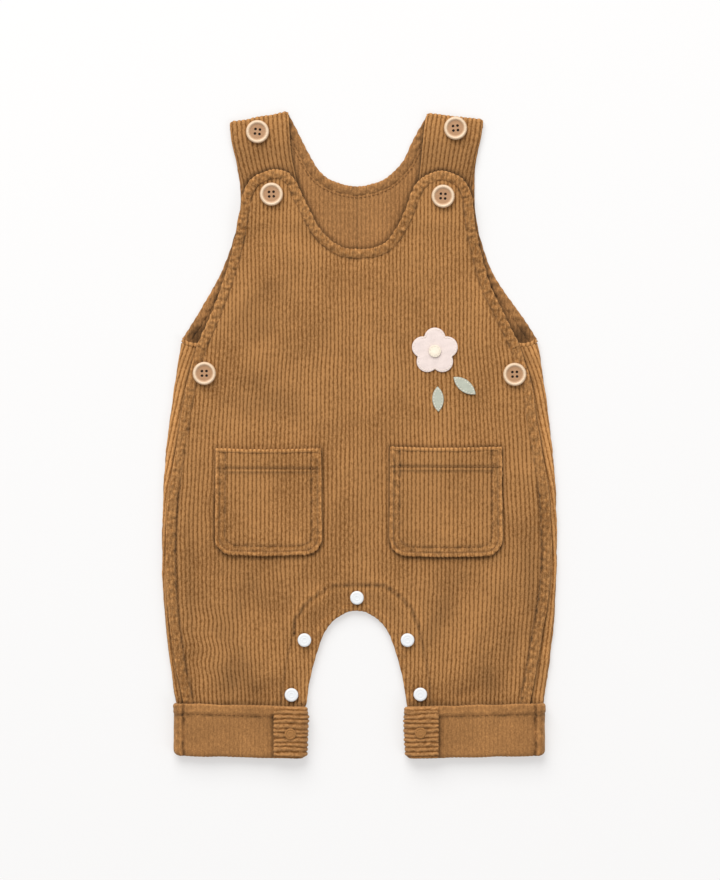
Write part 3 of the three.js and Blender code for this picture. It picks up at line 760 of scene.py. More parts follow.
def sheet_grid(
    outline: Array, margin: float, rows: Array, lean: Height, top: Height, bottom: Height, fine: int = 4
) -> Surface:
    """A closed sheet of cloth cut to an outline, with its points in columns along the wales.

    Args:
        outline: The closed outline.
        margin: How far inside the outline the sheet stops, under the band that covers its edge.
        rows: Levels of the rows of points, from high to low.
        lean: Gives x for the cloth's coordinate across the wales and the level.
        top: Gives the upper side's height for x, y and the cloth's coordinate.
        bottom: Gives the lower side's height for x and y.
        fine: Columns for each wale.

    Returns:
        The closed surface.
    """
    reach = np.abs(outline[:, 0]).max() / 0.9 + WALE
    column = np.arange(-int(reach / WALE) * fine, int(reach / WALE) * fine + 1) * WALE / fine
    across, level = np.meshgrid(column, rows)
    x = lean(across, level)
    keep = is_inside(outline, x, level).ravel()
    closed = respaced(np.concatenate([outline, outline[:1]]), 2.5)
    inner = np.flatnonzero(keep)
    keep[inner] = distance_to(closed, x.ravel()[inner], level.ravel()[inner]) >= margin
    faces = grid_faces(*x.shape)
    faces = faces[keep[faces].all(axis=1)]
    used, faces = np.unique(faces, return_inverse=True)
    faces = faces.reshape(-1, 4)
    px, py, pu = x.ravel()[used], level.ravel()[used], across.ravel()[used]
    count = len(used)
    edges = np.concatenate([faces[:, [0, 1]], faces[:, [1, 2]], faces[:, [2, 3]], faces[:, [3, 0]]])
    key = edges.min(axis=1) * count + edges.max(axis=1)
    _, first, seen = np.unique(key, return_index=True, return_counts=True)
    rim = edges[first[seen == 1]]
    cloth = np.stack([pu, py], axis=1)
    return Surface(
        np.concatenate(
            [np.stack([px, py, top(px, py, pu)], axis=1), np.stack([px, py, bottom(px, py)], axis=1)]
        ),
        np.concatenate([faces, faces[:, ::-1] + count, np.stack([rim[:, 1],
            rim[:, 0], rim[:, 0] + count, rim[:, 1] + count], axis=1)]),
        np.concatenate([cloth, cloth]),
    ).facing_out()


def normals_of(line: Array, inward: int) -> Array:
    """Directions across a line at each of its points: to its left for inward 1, to its right for -1.

    Args:
        line: Points of the line, in millimetres.
        inward: 1 for the left of the line and -1 for its right.

    Returns:
        A unit direction for each point.
    """
    way = np.gradient(line[:, :2], axis=0)
    way /= np.linalg.norm(way, axis=1, keepdims=True)
    return inward * np.stack([-way[:, 1], way[:, 0]], axis=1)


def moved(line: Array, inward: int, by: float) -> Array:
    """A line moved sideways by a distance."""
    return line[:, :2] + normals_of(line, inward) * by


@dataclass(frozen=True)
class Band:
    """A turned edge of cloth, rounded like a soft cord that was pressed flat."""

    width: float = 6.4
    thick: float = 3.3
    ribs: float = 0.75  # share of the rib's height that shows on it
    pucker: float = 0.28
    scallop: float = 0.3
    steps: int = 26

    def along(self, line: Array, inward: int, middle: Height, cloth_of: Height, seed: int) -> Surface:
        """The band along one edge.

        Its section is a flattened round: at angle t its points lie width (1 - cos t) / 2 inwards and
        thick / 2 sin t to the power 0.6 up, so that it is nearly flat on top. Ribs and puckers raise
        its upper side and notch its outer edge.

        Args:
            line: Points of the edge.
            inward: On which side of the line the cloth lies, 1 for the left.
            middle: Height of the middle of the band over the table, for x and y.
            cloth_of: The cloth's coordinate across the wales for x and y.
            seed: Seed of the puckers.

        Returns:
            The closed surface.
        """
        normal = normals_of(line, inward)
        centre = line[:, :2] + normal * self.width / 2
        level = middle(centre[:, 0], centre[:, 1])
        run = np.concatenate([[0.0], np.cumsum(np.linalg.norm(np.diff(line[:, :2], axis=0), axis=1))])

        def section(along: Array, round_it: Array) -> tuple[Array, Array]:
            """Points and cloth coordinates of the band.

            Args:
                along: Place along the shape.
                round_it: Place round the shape.

            Returns:
                Points, and the cloth coordinate of each.
            """
            turn = 2 * np.pi * (round_it + 0.5) / self.steps
            inside = self.width * (1 - np.cos(turn)) / 2
            up = np.sign(np.sin(turn)) * np.abs(np.sin(turn)) ** 0.6
            x = line[along, 0] + normal[along, 0] * inside
            y = line[along, 1] + normal[along, 1] * inside
            across = cloth_of(x, y)
            ribs = rib(across, y) * np.clip(up, 0, 1)
            notch = self.scallop * (rib(across, y) / RIB_RISE - 0.5) * (1 + np.cos(turn)) / 2
            z = level[along] + self.thick / 2 * up + self.ribs * ribs
            z += self.pucker * np.clip(up, 0, 1) * waves(run[along], inside * 0.7, 5.5, seed)
            x = x - normal[along, 0] * notch
            y = y - normal[along, 1] * notch
            return np.stack([x, y, z], axis=-1), np.stack([across, y], axis=-1)

        return sweep(line, section, self.steps)


def threads(
    line: Array, height: Height, length: float = 2.5, space: float = 1.0, radius: float = 0.3
) -> Surface:
    """Stitches along a line: short rounded threads that dip into the cloth at both ends.

    Args:
        line: Points of the seam.
        height: Height of the cloth for x and y.
        length: Length of a stitch.
        space: Space between two stitches.
        radius: Thickness of the thread, as a radius.

    Returns:
        The surface of all stitches, each closed.
    """
    marks = respaced(line[:, :2], length + space)
    start, end = marks[:-1], marks[1:]
    way = (end - start) / np.linalg.norm(end - start, axis=1, keepdims=True)
    middle = (start + end) / 2
    level = height(middle[:, 0], middle[:, 1])
    place = np.array([-1.0, -0.8, 0.0, 0.8, 1.0])
    thick = np.array([0.3, 0.85, 1.0, 0.85, 0.3]) * radius
    dip = np.array([-0.55, -0.2, 0.12, -0.2, -0.55]) * radius * 2
    sides = 6
    turn = 2 * np.pi * np.arange(sides) / sides
    side = np.stack([-way[:, 1], way[:, 0]], axis=1)
    flat = (
        middle[:, None, None, :]
        + way[:, None, None, :] * (place * length / 2)[None, :, None, None]
        + side[:, None, None, :] * (thick[:, None] * np.cos(turn)[None])[None, ..., None]
    )
    z = level[:, None, None] + dip[None, :, None] + (thick[:, None] * np.sin(turn)[None])[None]
    points = np.concatenate([flat, z[..., None]], axis=-1)
    one = grid_faces(len(place), sides, around=True)
    last = (len(place) - 1) * sides
    caps = np.array([
        [3, 2, 1, 0], [5, 4, 3, 0], [last, last + 1, last + 2, last + 3], [last, last + 3, last + 4, last + 5]
    ])
    faces = np.concatenate([one, caps])[None] + (
        np.arange(len(marks) - 1) * len(place) * sides
    )[:, None, None]
    cloth = np.stack([points[..., 0], points[..., 1]], axis=-1)
    return Surface(points.reshape(-1, 3), faces.reshape(-1, 4), cloth.reshape(-1, 2)).facing_out()


# Finishes


class Nodes:
    """Builds the nodes of one material or node group."""

    def __init__(self, tree: bpy.types.NodeTree) -> None:
        """Starts with an empty tree."""
        self.tree = tree
        tree.nodes.clear()

    def add(self, kind: str, **settings: object) -> bpy.types.Node:
        """Adds a node and sets its properties, and its input values where a name starts with in_.

        Args:
            kind: Kind of node.

        Returns:
            The node.
        """
        node = self.tree.nodes.new(kind)
        for name, value in settings.items():
            if name.startswith("in_"):
                node.inputs[
                    int(name[3:]) if name[3:].isdigit() else name[3:].replace("_", " ")
                ].default_value = value
            else:
                setattr(node, name, value)
        return node

    def link(self, start: bpy.types.NodeSocket, end: bpy.types.NodeSocket) -> None:
        """Links two sockets."""
        self.tree.links.new(start, end)

    def math(
        self, operation: str, first: object, second: object = 0.0, clamp: bool = False
    ) -> bpy.types.NodeSocket:
        """The result of a sum of two sockets or numbers.

        Args:
            operation: Name of the sum.
            first: The first value.
            second: The second value.
            clamp: Whether the result stays between 0 and 1.

        Returns:
            Socket with the result.
        """
        node = self.add("ShaderNodeMath", operation=operation, use_clamp=clamp)
        for socket, value in zip(node.inputs, (first, second)):
            if isinstance(value, bpy.types.NodeSocket):
                self.link(value, socket)
            else:
                socket.default_value = value
        return node.outputs[0]

    def noise(
        self, vector: bpy.types.NodeSocket, scale: tuple[float, float, float], detail: float
    ) -> bpy.types.NodeSocket:
        """Noise from 0 to 1 that is stretched by the scale of each axis, in cells per metre.

        Args:
            vector: Socket with the place.
            scale: Cells to the metre on each axis.
            detail: Number of finer layers.

        Returns:
            Socket with the noise.
        """
        stretch = self.add("ShaderNodeVectorMath", operation="MULTIPLY", in_1=scale)
        self.link(vector, stretch.inputs[0])
        made = self.add("ShaderNodeTexNoise", in_Scale=1.0, in_Detail=detail, in_Roughness=0.55)
        self.link(stretch.outputs[0], made.inputs["Vector"])
        return made.outputs["Fac"]

    def ramp(
        self, factor: bpy.types.NodeSocket, stops: Sequence[tuple[float, tuple[float, float, float]]]
    ) -> bpy.types.NodeSocket:
        """A colour picked along stops of place and colour.

        Args:
            factor: Socket with the share.
            stops: Places and colours of the stops.

        Returns:
            Socket with the colour.
        """
        node = self.add("ShaderNodeValToRGB")
        band = node.color_ramp
        while len(band.elements) < len(stops):
            band.elements.new(0.5)
        for element, (place, colour) in zip(band.elements, stops):
            element.position = place
            element.color = (*colour, 1.0)
        self.link(factor, node.inputs[0])
        return node.outputs[0]

    def mix(self, factor: object, first: object, second: object, kind: str = "MIX") -> bpy.types.NodeSocket:
        """A blend of two colours.

        Args:
            factor: Socket with the share.
            first: The first value.
            second: The second value.
            kind: Kind of node.

        Returns:
            Socket with the blend.
        """
        node = self.add("ShaderNodeMix", data_type="RGBA", blend_type=kind)
        for socket, value in ((node.inputs[0], factor), (node.inputs[6], first), (node.inputs[7], second)):
            if isinstance(value, bpy.types.NodeSocket):
                self.link(value, socket)
            else:
                socket.default_value = (*value, 1.0) if isinstance(value, tuple) else value
        return node.outputs[2]


def pile_group() -> bpy.types.NodeTree:
    """A node group with the corduroy's pile: how light it is across a wale, its grain and its fuzz.

    Its Cloth input is the cloth coordinate in millimetres. Wale is |cos(pi u / pitch)|, which is 1 on a
    crest and 0 in a valley. Grain is noise drawn out along the wales, and Fuzz is fine even noise.

    Returns:
        The node group.
    """
    group = bpy.data.node_groups.new("corduroy_pile", "ShaderNodeTree")
    face = group.interface
    face.new_socket("Cloth", in_out="INPUT", socket_type="NodeSocketVector")
    face.new_socket("Place", in_out="INPUT", socket_type="NodeSocketVector")
    for name in ("Wale", "Grain", "Fuzz", "Patch"):
        face.new_socket(name, in_out="OUTPUT", socket_type="NodeSocketFloat")
    nodes = Nodes(group)
    start, end = nodes.add("NodeGroupInput"), nodes.add("NodeGroupOutput")
    split = nodes.add("ShaderNodeSeparateXYZ")
    nodes.link(start.outputs["Cloth"], split.inputs[0])
    phase = nodes.math("COSINE", nodes.math("MULTIPLY", split.outputs[0], np.pi / WALE))
    nodes.link(nodes.math("ABSOLUTE", phase), end.inputs["Wale"])
    nodes.link(nodes.noise(start.outputs["Cloth"], (0.85, 0.34, 1.0), 3.0), end.inputs["Grain"])
    nodes.link(nodes.noise(start.outputs["Place"], (1250.0, 1250.0, 1250.0), 3.0), end.inputs["Fuzz"])
    nodes.link(nodes.noise(start.outputs["Place"], (26.0, 18.0, 26.0), 2.0), end.inputs["Patch"])
    return group


@dataclass(frozen=True)
class Corduroy:
    """Brown corduroy: valleys darker, partly painted shade; crests lighter and grainy; a soft sheen."""

    name: str
    crest: tuple[float, float, float] = (0.332, 0.162, 0.0555)
    valley: tuple[float, float, float] = (0.130, 0.046, 0.0065)
    contrast: float = 1.0  # how much the wales differ in colour, the valleys' painted shade
    grain: float = 1.7
    fuzz: float = 1.4
    bump: float = 0.5

    def build(self, pile: bpy.types.NodeTree) -> bpy.types.Material:
        """The material.

        Args:
            pile: The node group of the pile.

        Returns:
            The finished material.
        """
        material, nodes, shader = new_material(self.name)
        uv = nodes.add("ShaderNodeUVMap", uv_map="cloth")
        place = nodes.add("ShaderNodeTexCoord")
        look = nodes.add("ShaderNodeGroup", node_tree=pile)
        nodes.link(uv.outputs[0], look.inputs["Cloth"])
        nodes.link(place.outputs["Object"], look.inputs["Place"])
        lively = nodes.math("ADD", nodes.math("MULTIPLY", look.outputs["Patch"], 1.3), 0.35)
        worn = nodes.add("ShaderNodeAttribute", attribute_name="worn")
        lively = nodes.math("MULTIPLY", lively, nodes.math("SUBTRACT", 1.0, worn.outputs["Fac"]))
        wale = nodes.math("SUBTRACT", nodes.math("POWER", look.outputs["Wale"], 0.7), 0.62)
        wale = nodes.math(
            "ADD", nodes.math("MULTIPLY", nodes.math("MULTIPLY", wale, self.contrast), lively), 0.62
        )
        grain = nodes.math("MULTIPLY", nodes.math("SUBTRACT", look.outputs["Grain"], 0.5), self.grain)
        fuzz = nodes.math("MULTIPLY", nodes.math("SUBTRACT", look.outputs["Fuzz"], 0.5), self.fuzz)
        patch = nodes.math("MULTIPLY", nodes.math("SUBTRACT", look.outputs["Patch"], 0.5), 0.6)
        tone = nodes.math("ADD", nodes.math("ADD", wale, grain), nodes.math("ADD", fuzz, patch), clamp=True)
        middle = tuple((a + b) / 2 for a, b in zip(self.crest, self.valley))
        light = tuple(value * 1.22 for value in self.crest)
        colour = nodes.ramp(tone, ((0.0, self.valley), (0.5, middle), (0.84, self.crest), (1.0, light)))
        # Painted shade and light: the colour is multiplied by 1 plus each point's shade attribute.
        shade = nodes.add("ShaderNodeAttribute", attribute_name="shade")
        share = nodes.math("ADD", shade.outputs["Fac"], 1.0)
        nodes.link(nodes.mix(1.0, colour, share, "MULTIPLY"), shader.inputs["Base Color"])
        height = nodes.math("ADD", nodes.math("MULTIPLY", look.outputs["Fuzz"], 0.5), look.outputs["Grain"])
        bump = nodes.add("ShaderNodeBump", in_Strength=self.bump, in_Distance=0.0006)
        nodes.link(height, bump.inputs["Height"])
        nodes.link(bump.outputs[0], shader.inputs["Normal"])
        shader.inputs["Roughness"].default_value = 0.92
        shader.inputs["Specular IOR Level"].default_value = 0.18
        shader.inputs["Sheen Weight"].default_value = 0.22
        shader.inputs["Sheen Roughness"].default_value = 0.5
        shader.inputs["Sheen Tint"].default_value = (0.95, 0.72, 0.45, 1.0)
        return material


def new_material(name: str) -> tuple[bpy.types.Material, Nodes, bpy.types.Node]:
    """An empty material with its shader: the material, its nodes and its Principled node.

    Args:
        name: Name of the material.

    Returns:
        The material, its nodes and its shader.
    """
    material = bpy.data.materials.new(name)
    material.use_nodes = True
    nodes = Nodes(material.node_tree)
    output = nodes.add("ShaderNodeOutputMaterial")
    shader = nodes.add("ShaderNodeBsdfPrincipled")
    nodes.link(shader.outputs[0], output.inputs[0])
    return material, nodes, shader


# Sub-assemblies


@dataclass(frozen=True)
class Finishes:
    """Every material of the garment."""

    corduroy: bpy.types.Material
    inside: bpy.types.Material
    plain: bpy.types.Material
    facing: bpy.types.Material
    thread: bpy.types.Material
    wood: bpy.types.Material
    white: bpy.types.Material
    socket: bpy.types.Material
    pink: bpy.types.Material
    cream: bpy.types.Material
    green: bpy.types.Material
    cream_thread: bpy.types.Material


def ride(piece: bpy.types.Object, slot: Slot) -> bpy.types.Object:
    """Fixes a piece to the garment.

    Args:
        piece: The piece.
        slot: Not used.

    Returns:
        The same piece.
    """
    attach(piece, "root")
    return piece


def grooves(seams: Sequence[Array], x: Array, y: Array, depth: float, reach: float = 0.9) -> Array:
    """Depth of the cloth under rows of stitches: depth times exp(-(d / reach)^2) for the distance d.

    Args:
        seams: Lines of stitches, in millimetres.
        x: Places along X, in millimetres.
        y: Places along Y, in millimetres.
        depth: Depth on the line, in millimetres.
        reach: Half width of the groove, in millimetres.

    Returns:
        Depth at each place, in millimetres.
    """
    closest = np.full(np.shape(x), np.inf)
    for seam in seams:
        closest = np.minimum(closest, distance_to(seam, x, y))
    return depth * near(closest, reach)


@dataclass
class FrontPanel:
    """The front: bib with two tabs, body and both front legs, cut in one, with its turned edges."""

    cut: Cut
    lay: Lay
    pockets: tuple["Pocket", ...]
    row: float = 2.6
    hem: Band = Band(width=7.2, thick=2.6, ribs=1.0, pucker=0.42, scallop=0.6)
    side_hem: Band = Band(width=7.5, thick=2.4, ribs=0.9, pucker=0.36, scallop=0.3)
    inseam_hem: Band = Band(width=6.4, thick=2.2, ribs=0.9, pucker=0.24, scallop=0.25)
    stitch_in: float = 7.1
    flat: tuple[float, float] = (0.296, 0.445)
    flat_area: float = 0.0915

    # Stitches that hold the facing behind the crotch, and those of the leg facings.
    facing_arc: tuple[tuple[float, float], ...] = (
        (-49.1, -148.4), (-48.4, -139.0), (-44.6, -132.7), (-38.6, -125.2), (-29.6, -118.2), (-19.6, -113.4),
        (-1.0, -111.8), (17.1, -113.0), (25.9, -117.7), (33.4, -124.2), (39.4, -131.7), (43.9, -143.2),
    )
    leg_left: tuple[tuple[float, float], ...] = ((-49.1, -148.4), (-54.6, -168.7), (-59.0, -201.0))
    leg_right: tuple[tuple[float, float], ...] = ((43.9, -143.2), (49.9, -168.7), (54.0, -201.0))

    def __post_init__(self) -> None:
        """Draws the lines of stitches."""
        self.upper = spline(self.cut.front_top, 0.7)
        self.left = self.cut.side_line(self.cut.front_left, 69, LEG_END, 1.2)
        self.right = self.cut.side_line(self.cut.front_right, 69, LEG_END, 1.2)
        self.gap = self.cut.inseam()
        seams = [moved(self.upper, -1, self.stitch_in), spline(self.facing_arc, 2)]
        low = [line[(line[:, 1] < -36) & (line[:, 1] > -196)] for line in (self.left, self.right)]
        self.topstitch = [moved(low[0], 1, 8.0), moved(low[1], -1, 8.0)]
        self.faint = [spline(self.leg_left, 2), spline(self.leg_right, 2)]
        self.seams = [respaced(line, 2.0) for line in seams]
        self.faint += [respaced(line, 2.0) for line in self.topstitch]

    def top(self, x: Array, y: Array, across: Array) -> Array:
        """Upper side of the cloth with its ribs, grooves under stitches and puckers at the side seams.

        Args:
            x: Places along X, in millimetres.
            y: Places along Y, in millimetres.
            across: Places across the wales, in millimetres.

        Returns:
            Height at each place, in millimetres.
        """
        inside = self.lay.front_edge(x, y) - np.abs(x)
        beside = near(inside - 9, 6.5) * smoothstep(66 - y, 0, 12)
        ground = self.lay.front_ground(x, y) + 0.38 * beside * waves(x * 0.35, y, 10, 21)
        uneven = 0.6 + 0.4 * waves(x, y, 7, 22)
        held = grooves(self.seams, x, y, 0.5, 1.1) * uneven + grooves(self.faint, x, y, 0.35, 1.0)
        deep = 1 + 0.55 * smoothstep(-168 - y, 0, 28)
        return ground + rib(across, y) * deep * np.clip(1 - 0.7 * held - 0.35 * beside, 0.1, 1.6) - held

    def shade(self, x: Array, y: Array) -> Array:
        """Painted shade and light of the front: rim highlights, shade in seams and beside what lies on it.

        Args:
            x: Places along X, in millimetres.
            y: Places along Y, in millimetres.

        Returns:
            Shade at each place.
        """
        edge = self.edge_distance(x, y)
        inseam = distance_to(respaced(self.gap, 2.0), x, y)
        # Painted highlight along the turned edges and the inseam.
        painted_edge_shading = 0.22 * near(edge, 1.4) + 0.1 * near(inseam, 1.2)
        arc = distance_to(respaced(spline(self.facing_arc, 2), 2.0), x, y)
        # Painted shade along the dotted stitch line of the crotch facing, with a painted highlight beside it.
        facing = 0.1 * near(arc - 3.2, 1.6) - 0.6 * near(arc, 1.5) * np.clip(
            0.8 + 0.5 * waves(x, y, 4, 25), 0, 1.2
        )
        dots = np.clip(0.45 + 0.75 * waves(x, y, 6.5, 23), 0, 1.3)
        # Painted shade in the dimples of the stitch line inside the turned edges.
        seam = -0.3 * near(edge - self.stitch_in, 1.1) * dots
        mottle = 0.2 * waves(x, y, 5.2, 24) * smoothstep(self.stitch_in + 2 - edge, 0, 3)
        # Painted shade just above each cuff.
        painted_shade_above_cuffs = -0.42 * np.exp(-np.maximum(y - CUFF_TOP, 0) / 3.4)
        # Painted shadow on the front just outside each pocket.
        under = np.zeros(np.shape(x))
        for pocket in self.pockets:
            outline = pocket.outline()
            away = distance_to(respaced(outline, 2.0), x, y)
            under = under - 0.5 * near(away, 1.9) * ~is_inside(outline, x, y)
        # Painted shade along the faint stitch grooves.
        faint = -grooves(self.faint, x, y, 0.28, 1.1)
        return painted_spots(PAINTED_SHADE_AND_LIGHT, x, y) + painted_edge_shading + seam + mottle + painted_shade_above_cuffs + under + faint + facing

    def worn(self, x: Array, y: Array) -> Array:
        """Where the ribs are pressed flat: along the turned edges."""
        return 0.7 * smoothstep(self.stitch_in + 1.6 - self.edge_distance(x, y), 0, 2.5)

    def edge_distance(self, x: Array, y: Array) -> Array:
        """Distance to the nearest turned edge of the front, at the top and the sides."""
        lines = (self.upper, self.left, self.right)
        return np.minimum.reduce([distance_to(respaced(line, 2.0), x, y) for line in lines])

    def x_of(self, across: Array, y: Array) -> Array:
        """x for the cloth's coordinate across the wales, found in three rounds.

        Args:
            across: Places across the wales, in millimetres.
            y: Places along Y, in millimetres.

        Returns:
            Places along X, in millimetres.
        """
        x = across
        for _ in range(3):
            x = x + (across - self.lay.cloth_of(x, y))
        return x

    def band(self, line: Array, inward: int, shape: Band, seed: int) -> Surface:
        """A turned edge that lies where the panel's edge would."""

        def middle(x: Array, y: Array) -> Array:
            """Height of the middle of the band."""
            return self.lay.front_bottom(x, y) + shape.thick / 2

        return shape.along(line, inward, middle, self.lay.cloth_of, seed)

    def build(self, finish: Finishes) -> bpy.types.Object:
        """Makes the panel, its edges and its stitches.

        Args:
            finish: The materials.

        Returns:
            The panel.
        """
        rows = np.arange(199.5, LEG_END - 0.1, -self.row)
        cloth = sheet_grid(
            self.cut.front_outline(), 2.6, rows, self.x_of, self.top, self.lay.front_bottom
        )
        panel = ride(
            make_object("front_cloth", cloth.shaded(self.shade, self.worn), finish.corduroy), Slot.CORDUROY
        )
        edges = self.band(self.upper, -1, self.hem, 31).joined(
            self.band(self.left, 1, self.side_hem, 32),
            self.band(self.right, -1, self.side_hem, 33),
            self.band(self.gap, 1, self.inseam_hem, 34),
        )
        hems = ride(
            make_object("front_hems", edges.shaded(self.shade, self.worn), finish.corduroy), Slot.CORDUROY
        )
        over = lambda x, y: self.lay.front_ground(x, y) + 0.02
        lines = [moved(self.upper, -1, self.stitch_in), spline(self.facing_arc, 1), *self.faint]
        first, *rest = [threads(line, over) for line in lines]
        stitches = ride(make_object("front_stitches", first.joined(*rest), finish.thread), Slot.CORDUROY)
        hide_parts("front")
        return panel


@dataclass
class BackPanel:
    """The back: body and both back legs, wrapped round the sides, with the straps folded forward."""

    cut: Cut
    lay: Lay
    hem: Band = Band(width=7.0, thick=2.1, ribs=0.55, pucker=0.3, scallop=0.4)
    wale_turn: float = 0.05  # how far the wales of the wrapped sides lean, as a slope
    flat: tuple[float, float] = (0.335, 0.600)
    flat_area: float = 0.125
    # The turned edge that closes the top of each wrapped side, from the armhole to the front.
    opening: tuple[tuple[float, float], ...] = (
        (131.4, 72.5), (129.5, 70.5), (125.5, 69.3), (120.0, 69.2), (114.5, 70.6)
    )
    lip: Band = Band(width=3.2, thick=2.6, ribs=0.4, pucker=0.2, scallop=0.3)

    def top(self, x: Array, y: Array, across: Array) -> Array:
        """The back's inner side: the wales show through it faintly, with a groove under each neck stitch."""
        ribs = 0.4 * rib(across, y) + 0.08 * waves(x, y, 20, 8) - 0.25 * near(x + 2.2, 0.8)
        return self.lay.back_top(y) - 0.28 + ribs - grooves(self.neck_seams, x, y, 0.3, 0.8)

    def __post_init__(self) -> None:
        """Draws the edges of the neck and armholes and the stitches of the neck."""
        self.neck = spline(self.cut.neck, 0.7)
        self.armholes = (spline(self.cut.armhole_left, 0.8), spline(self.cut.armhole_right, 0.8))
        self.neck_seams = [respaced(moved(self.neck, -1, by), 2.0) for by in (5.4, 8.4)]
        self.covering = respaced(spline(self.cut.front_top, 2.0), 2.0)
        straps = (np.asarray(self.cut.strap_left), np.asarray(self.cut.strap_right))
        self.slits = [spline(table[:, 2:], 2.0) for table in straps]

    def shade(self, x: Array, y: Array) -> Array:
        """Painted shade of the back: under the front's edge, along the straps, in the armholes and on its
        seam.

        Args:
            x: Places along X, in millimetres.
            y: Places along Y, in millimetres.

        Returns:
            Shade at each place.
        """
        x, y = np.asarray(x), np.asarray(y)
        painted_shadow_under_front = -0.5 * near(distance_to(self.covering, x, y), 2.4)
        # Painted shadow along the straps' inner edges, painted shade in the armhole corners, along the middle
        # seam and faintly over the upper back.
        slits = -0.5 * near(np.minimum(*(distance_to(line, x, y) for line in self.slits)), 2.6)
        corners = -0.66 * near(np.hypot((np.abs(x) - 122.5) / 7.0, (y - 75) / 9), 1.0)
        seam = -0.2 * near(x + 2.2, 0.8) - 0.1 * near(y - 176, 60) * 0.3
        return np.maximum(painted_shadow_under_front + slits * (y < 240) + corners + seam - 0.03, -0.66)

    def hem_shade(self, x: Array, y: Array) -> Array:
        """Painted shade and light of the turned edges: rim highlights and inner-side shade, with random
        mottle.

        Args:
            x: Places along X, in millimetres.
            y: Places along Y, in millimetres.

        Returns:
            Shade at each place.
        """
        lines = (self.neck, *self.armholes)
        rim = np.minimum.reduce([distance_to(respaced(line, 2.0), x, y) for line in lines])
        return (
            self.shade(x, y) + 0.12 * near(rim, 1.2)
            + 0.15 * waves(x, y, 5, 46) - 0.12 * smoothstep(rim, 3, 7)
        )

    def side_shade(self, x: Array, y: Array) -> Array:
        """Painted shade and light of the wrapped sides: shadow beside the front's edge, highlight on the
        fold.

        Args:
            x: Places along X, in millimetres.
            y: Places along Y, in millimetres.

        Returns:
            Shade at each place.
        """
        edge = self.lay.front_edge(x, y)
        beyond = np.abs(x) - edge
        dark = -0.42 * near(np.maximum(beyond, 0), 2.0)
        # Painted highlight on the fold, strongest at mid height, over a slightly lighter whole side.
        fold = 0.1 + 0.34 * near(np.abs(x) - self.cut.back_half.at(y) + 3, 4.0) * near(y + 45, 95)
        # Painted shade where the sides go into each cuff.
        low = -0.5 * np.exp(-np.maximum(y - CUFF_TOP, 0) / 7.0)
        return dark + fold + low + 0.08 * waves(x * 2, y, 20, 47)

    def side(self, sign: int) -> Surface:
        """A side of the back, from the floor round the fold to its hidden edge under the front.

        Args:
            sign: -1 for the left side and 1 for the right.

        Returns:
            The closed side.
        """
        levels = self.cut.front_left if sign < 0 else self.cut.front_right
        y = np.arange(SIDE_OPENING + 0.6, CUFF_TOP - 10, -1.9)
        lift = self.lay.lifted_back(y)
        half = self.cut.back_half.at(y) - 1.6 * smoothstep(CUFF_TOP + 3 - y, 0, 5)
        fold = SIDE_FOLD - 0.4 * lift
        hidden = np.abs(levels.at(y)) - FLAP_UNDER_FRONT
        arc, flap = 14, 22
        turn = -np.pi / 2 + np.pi * np.arange(arc + 1) / arc
        radius = fold / 2
        middle = half - radius
        share = np.arange(1, flap + 1) / flap
        reach = np.maximum(middle - hidden, 4)[:, None]
        floor = np.zeros((len(y), 1))
        nx = np.concatenate([floor, np.cos(turn)[None] + floor, share[None] * 0 + floor], axis=1)
        nz = np.concatenate([floor - 1, np.sin(turn)[None] + floor, share[None] * 0 + 1 + floor], axis=1)
        base_x = np.concatenate([
            middle[:, None] - 5, middle[:, None] + floor * turn[None], middle[:, None] - reach * share
        ], axis=1)
        run = np.concatenate([
            floor - 5, radius[:, None] * (turn + np.pi / 2)[None], np.pi * radius[:, None] + reach * share
        ], axis=1)
        run = run - run[:, -1:]
        level = y[:, None] + floor * nx
        across = -run * 0.97 + level * self.wale_turn
        soft = 0.25 * waves(run, level, 26, 60 + sign) * np.clip(nz + 1, 0, 1)
        ribs = rib(across, level) * np.clip(1 + nz, 0, 1) * 0.9 - RIB_RISE * 0.55

        def layer(out: Array) -> Array:
            """The side's points at a distance out from the middle of the fold."""
            return np.stack([
                sign * (base_x + nx * out), level, (lift + radius)[:, None] + nz * out
            ], axis=-1)

        inner_edge = smoothstep(-run, 0, 3)
        outer = layer(radius[:, None] + (ribs + soft) * np.clip(inner_edge, 0.2, 1))
        outer[..., 2] = np.maximum(outer[..., 2], 0.0)
        outer[:, 0, 2] = lift
        body = shell(outer, layer(radius[:, None] - BACK_WALL), np.stack([across, level], axis=-1))
        rim = spline([(sign * px, py) for px, py in self.opening], 0.7)
        middle = lambda px, py: np.full(np.shape(px), SIDE_FOLD - 0.75)
        lip = self.lip.along(rim, sign, middle, lambda px, py: px, 61)
        # Painted highlight on the lip, with a painted shade line along its lower edge.
        painted_edge_shading = lambda px, py: 0.16 - 0.5 * near(py - SIDE_OPENING + 3.4, 0.8)
        return body.shaded(self.side_shade).joined(lip.shaded(painted_edge_shading))

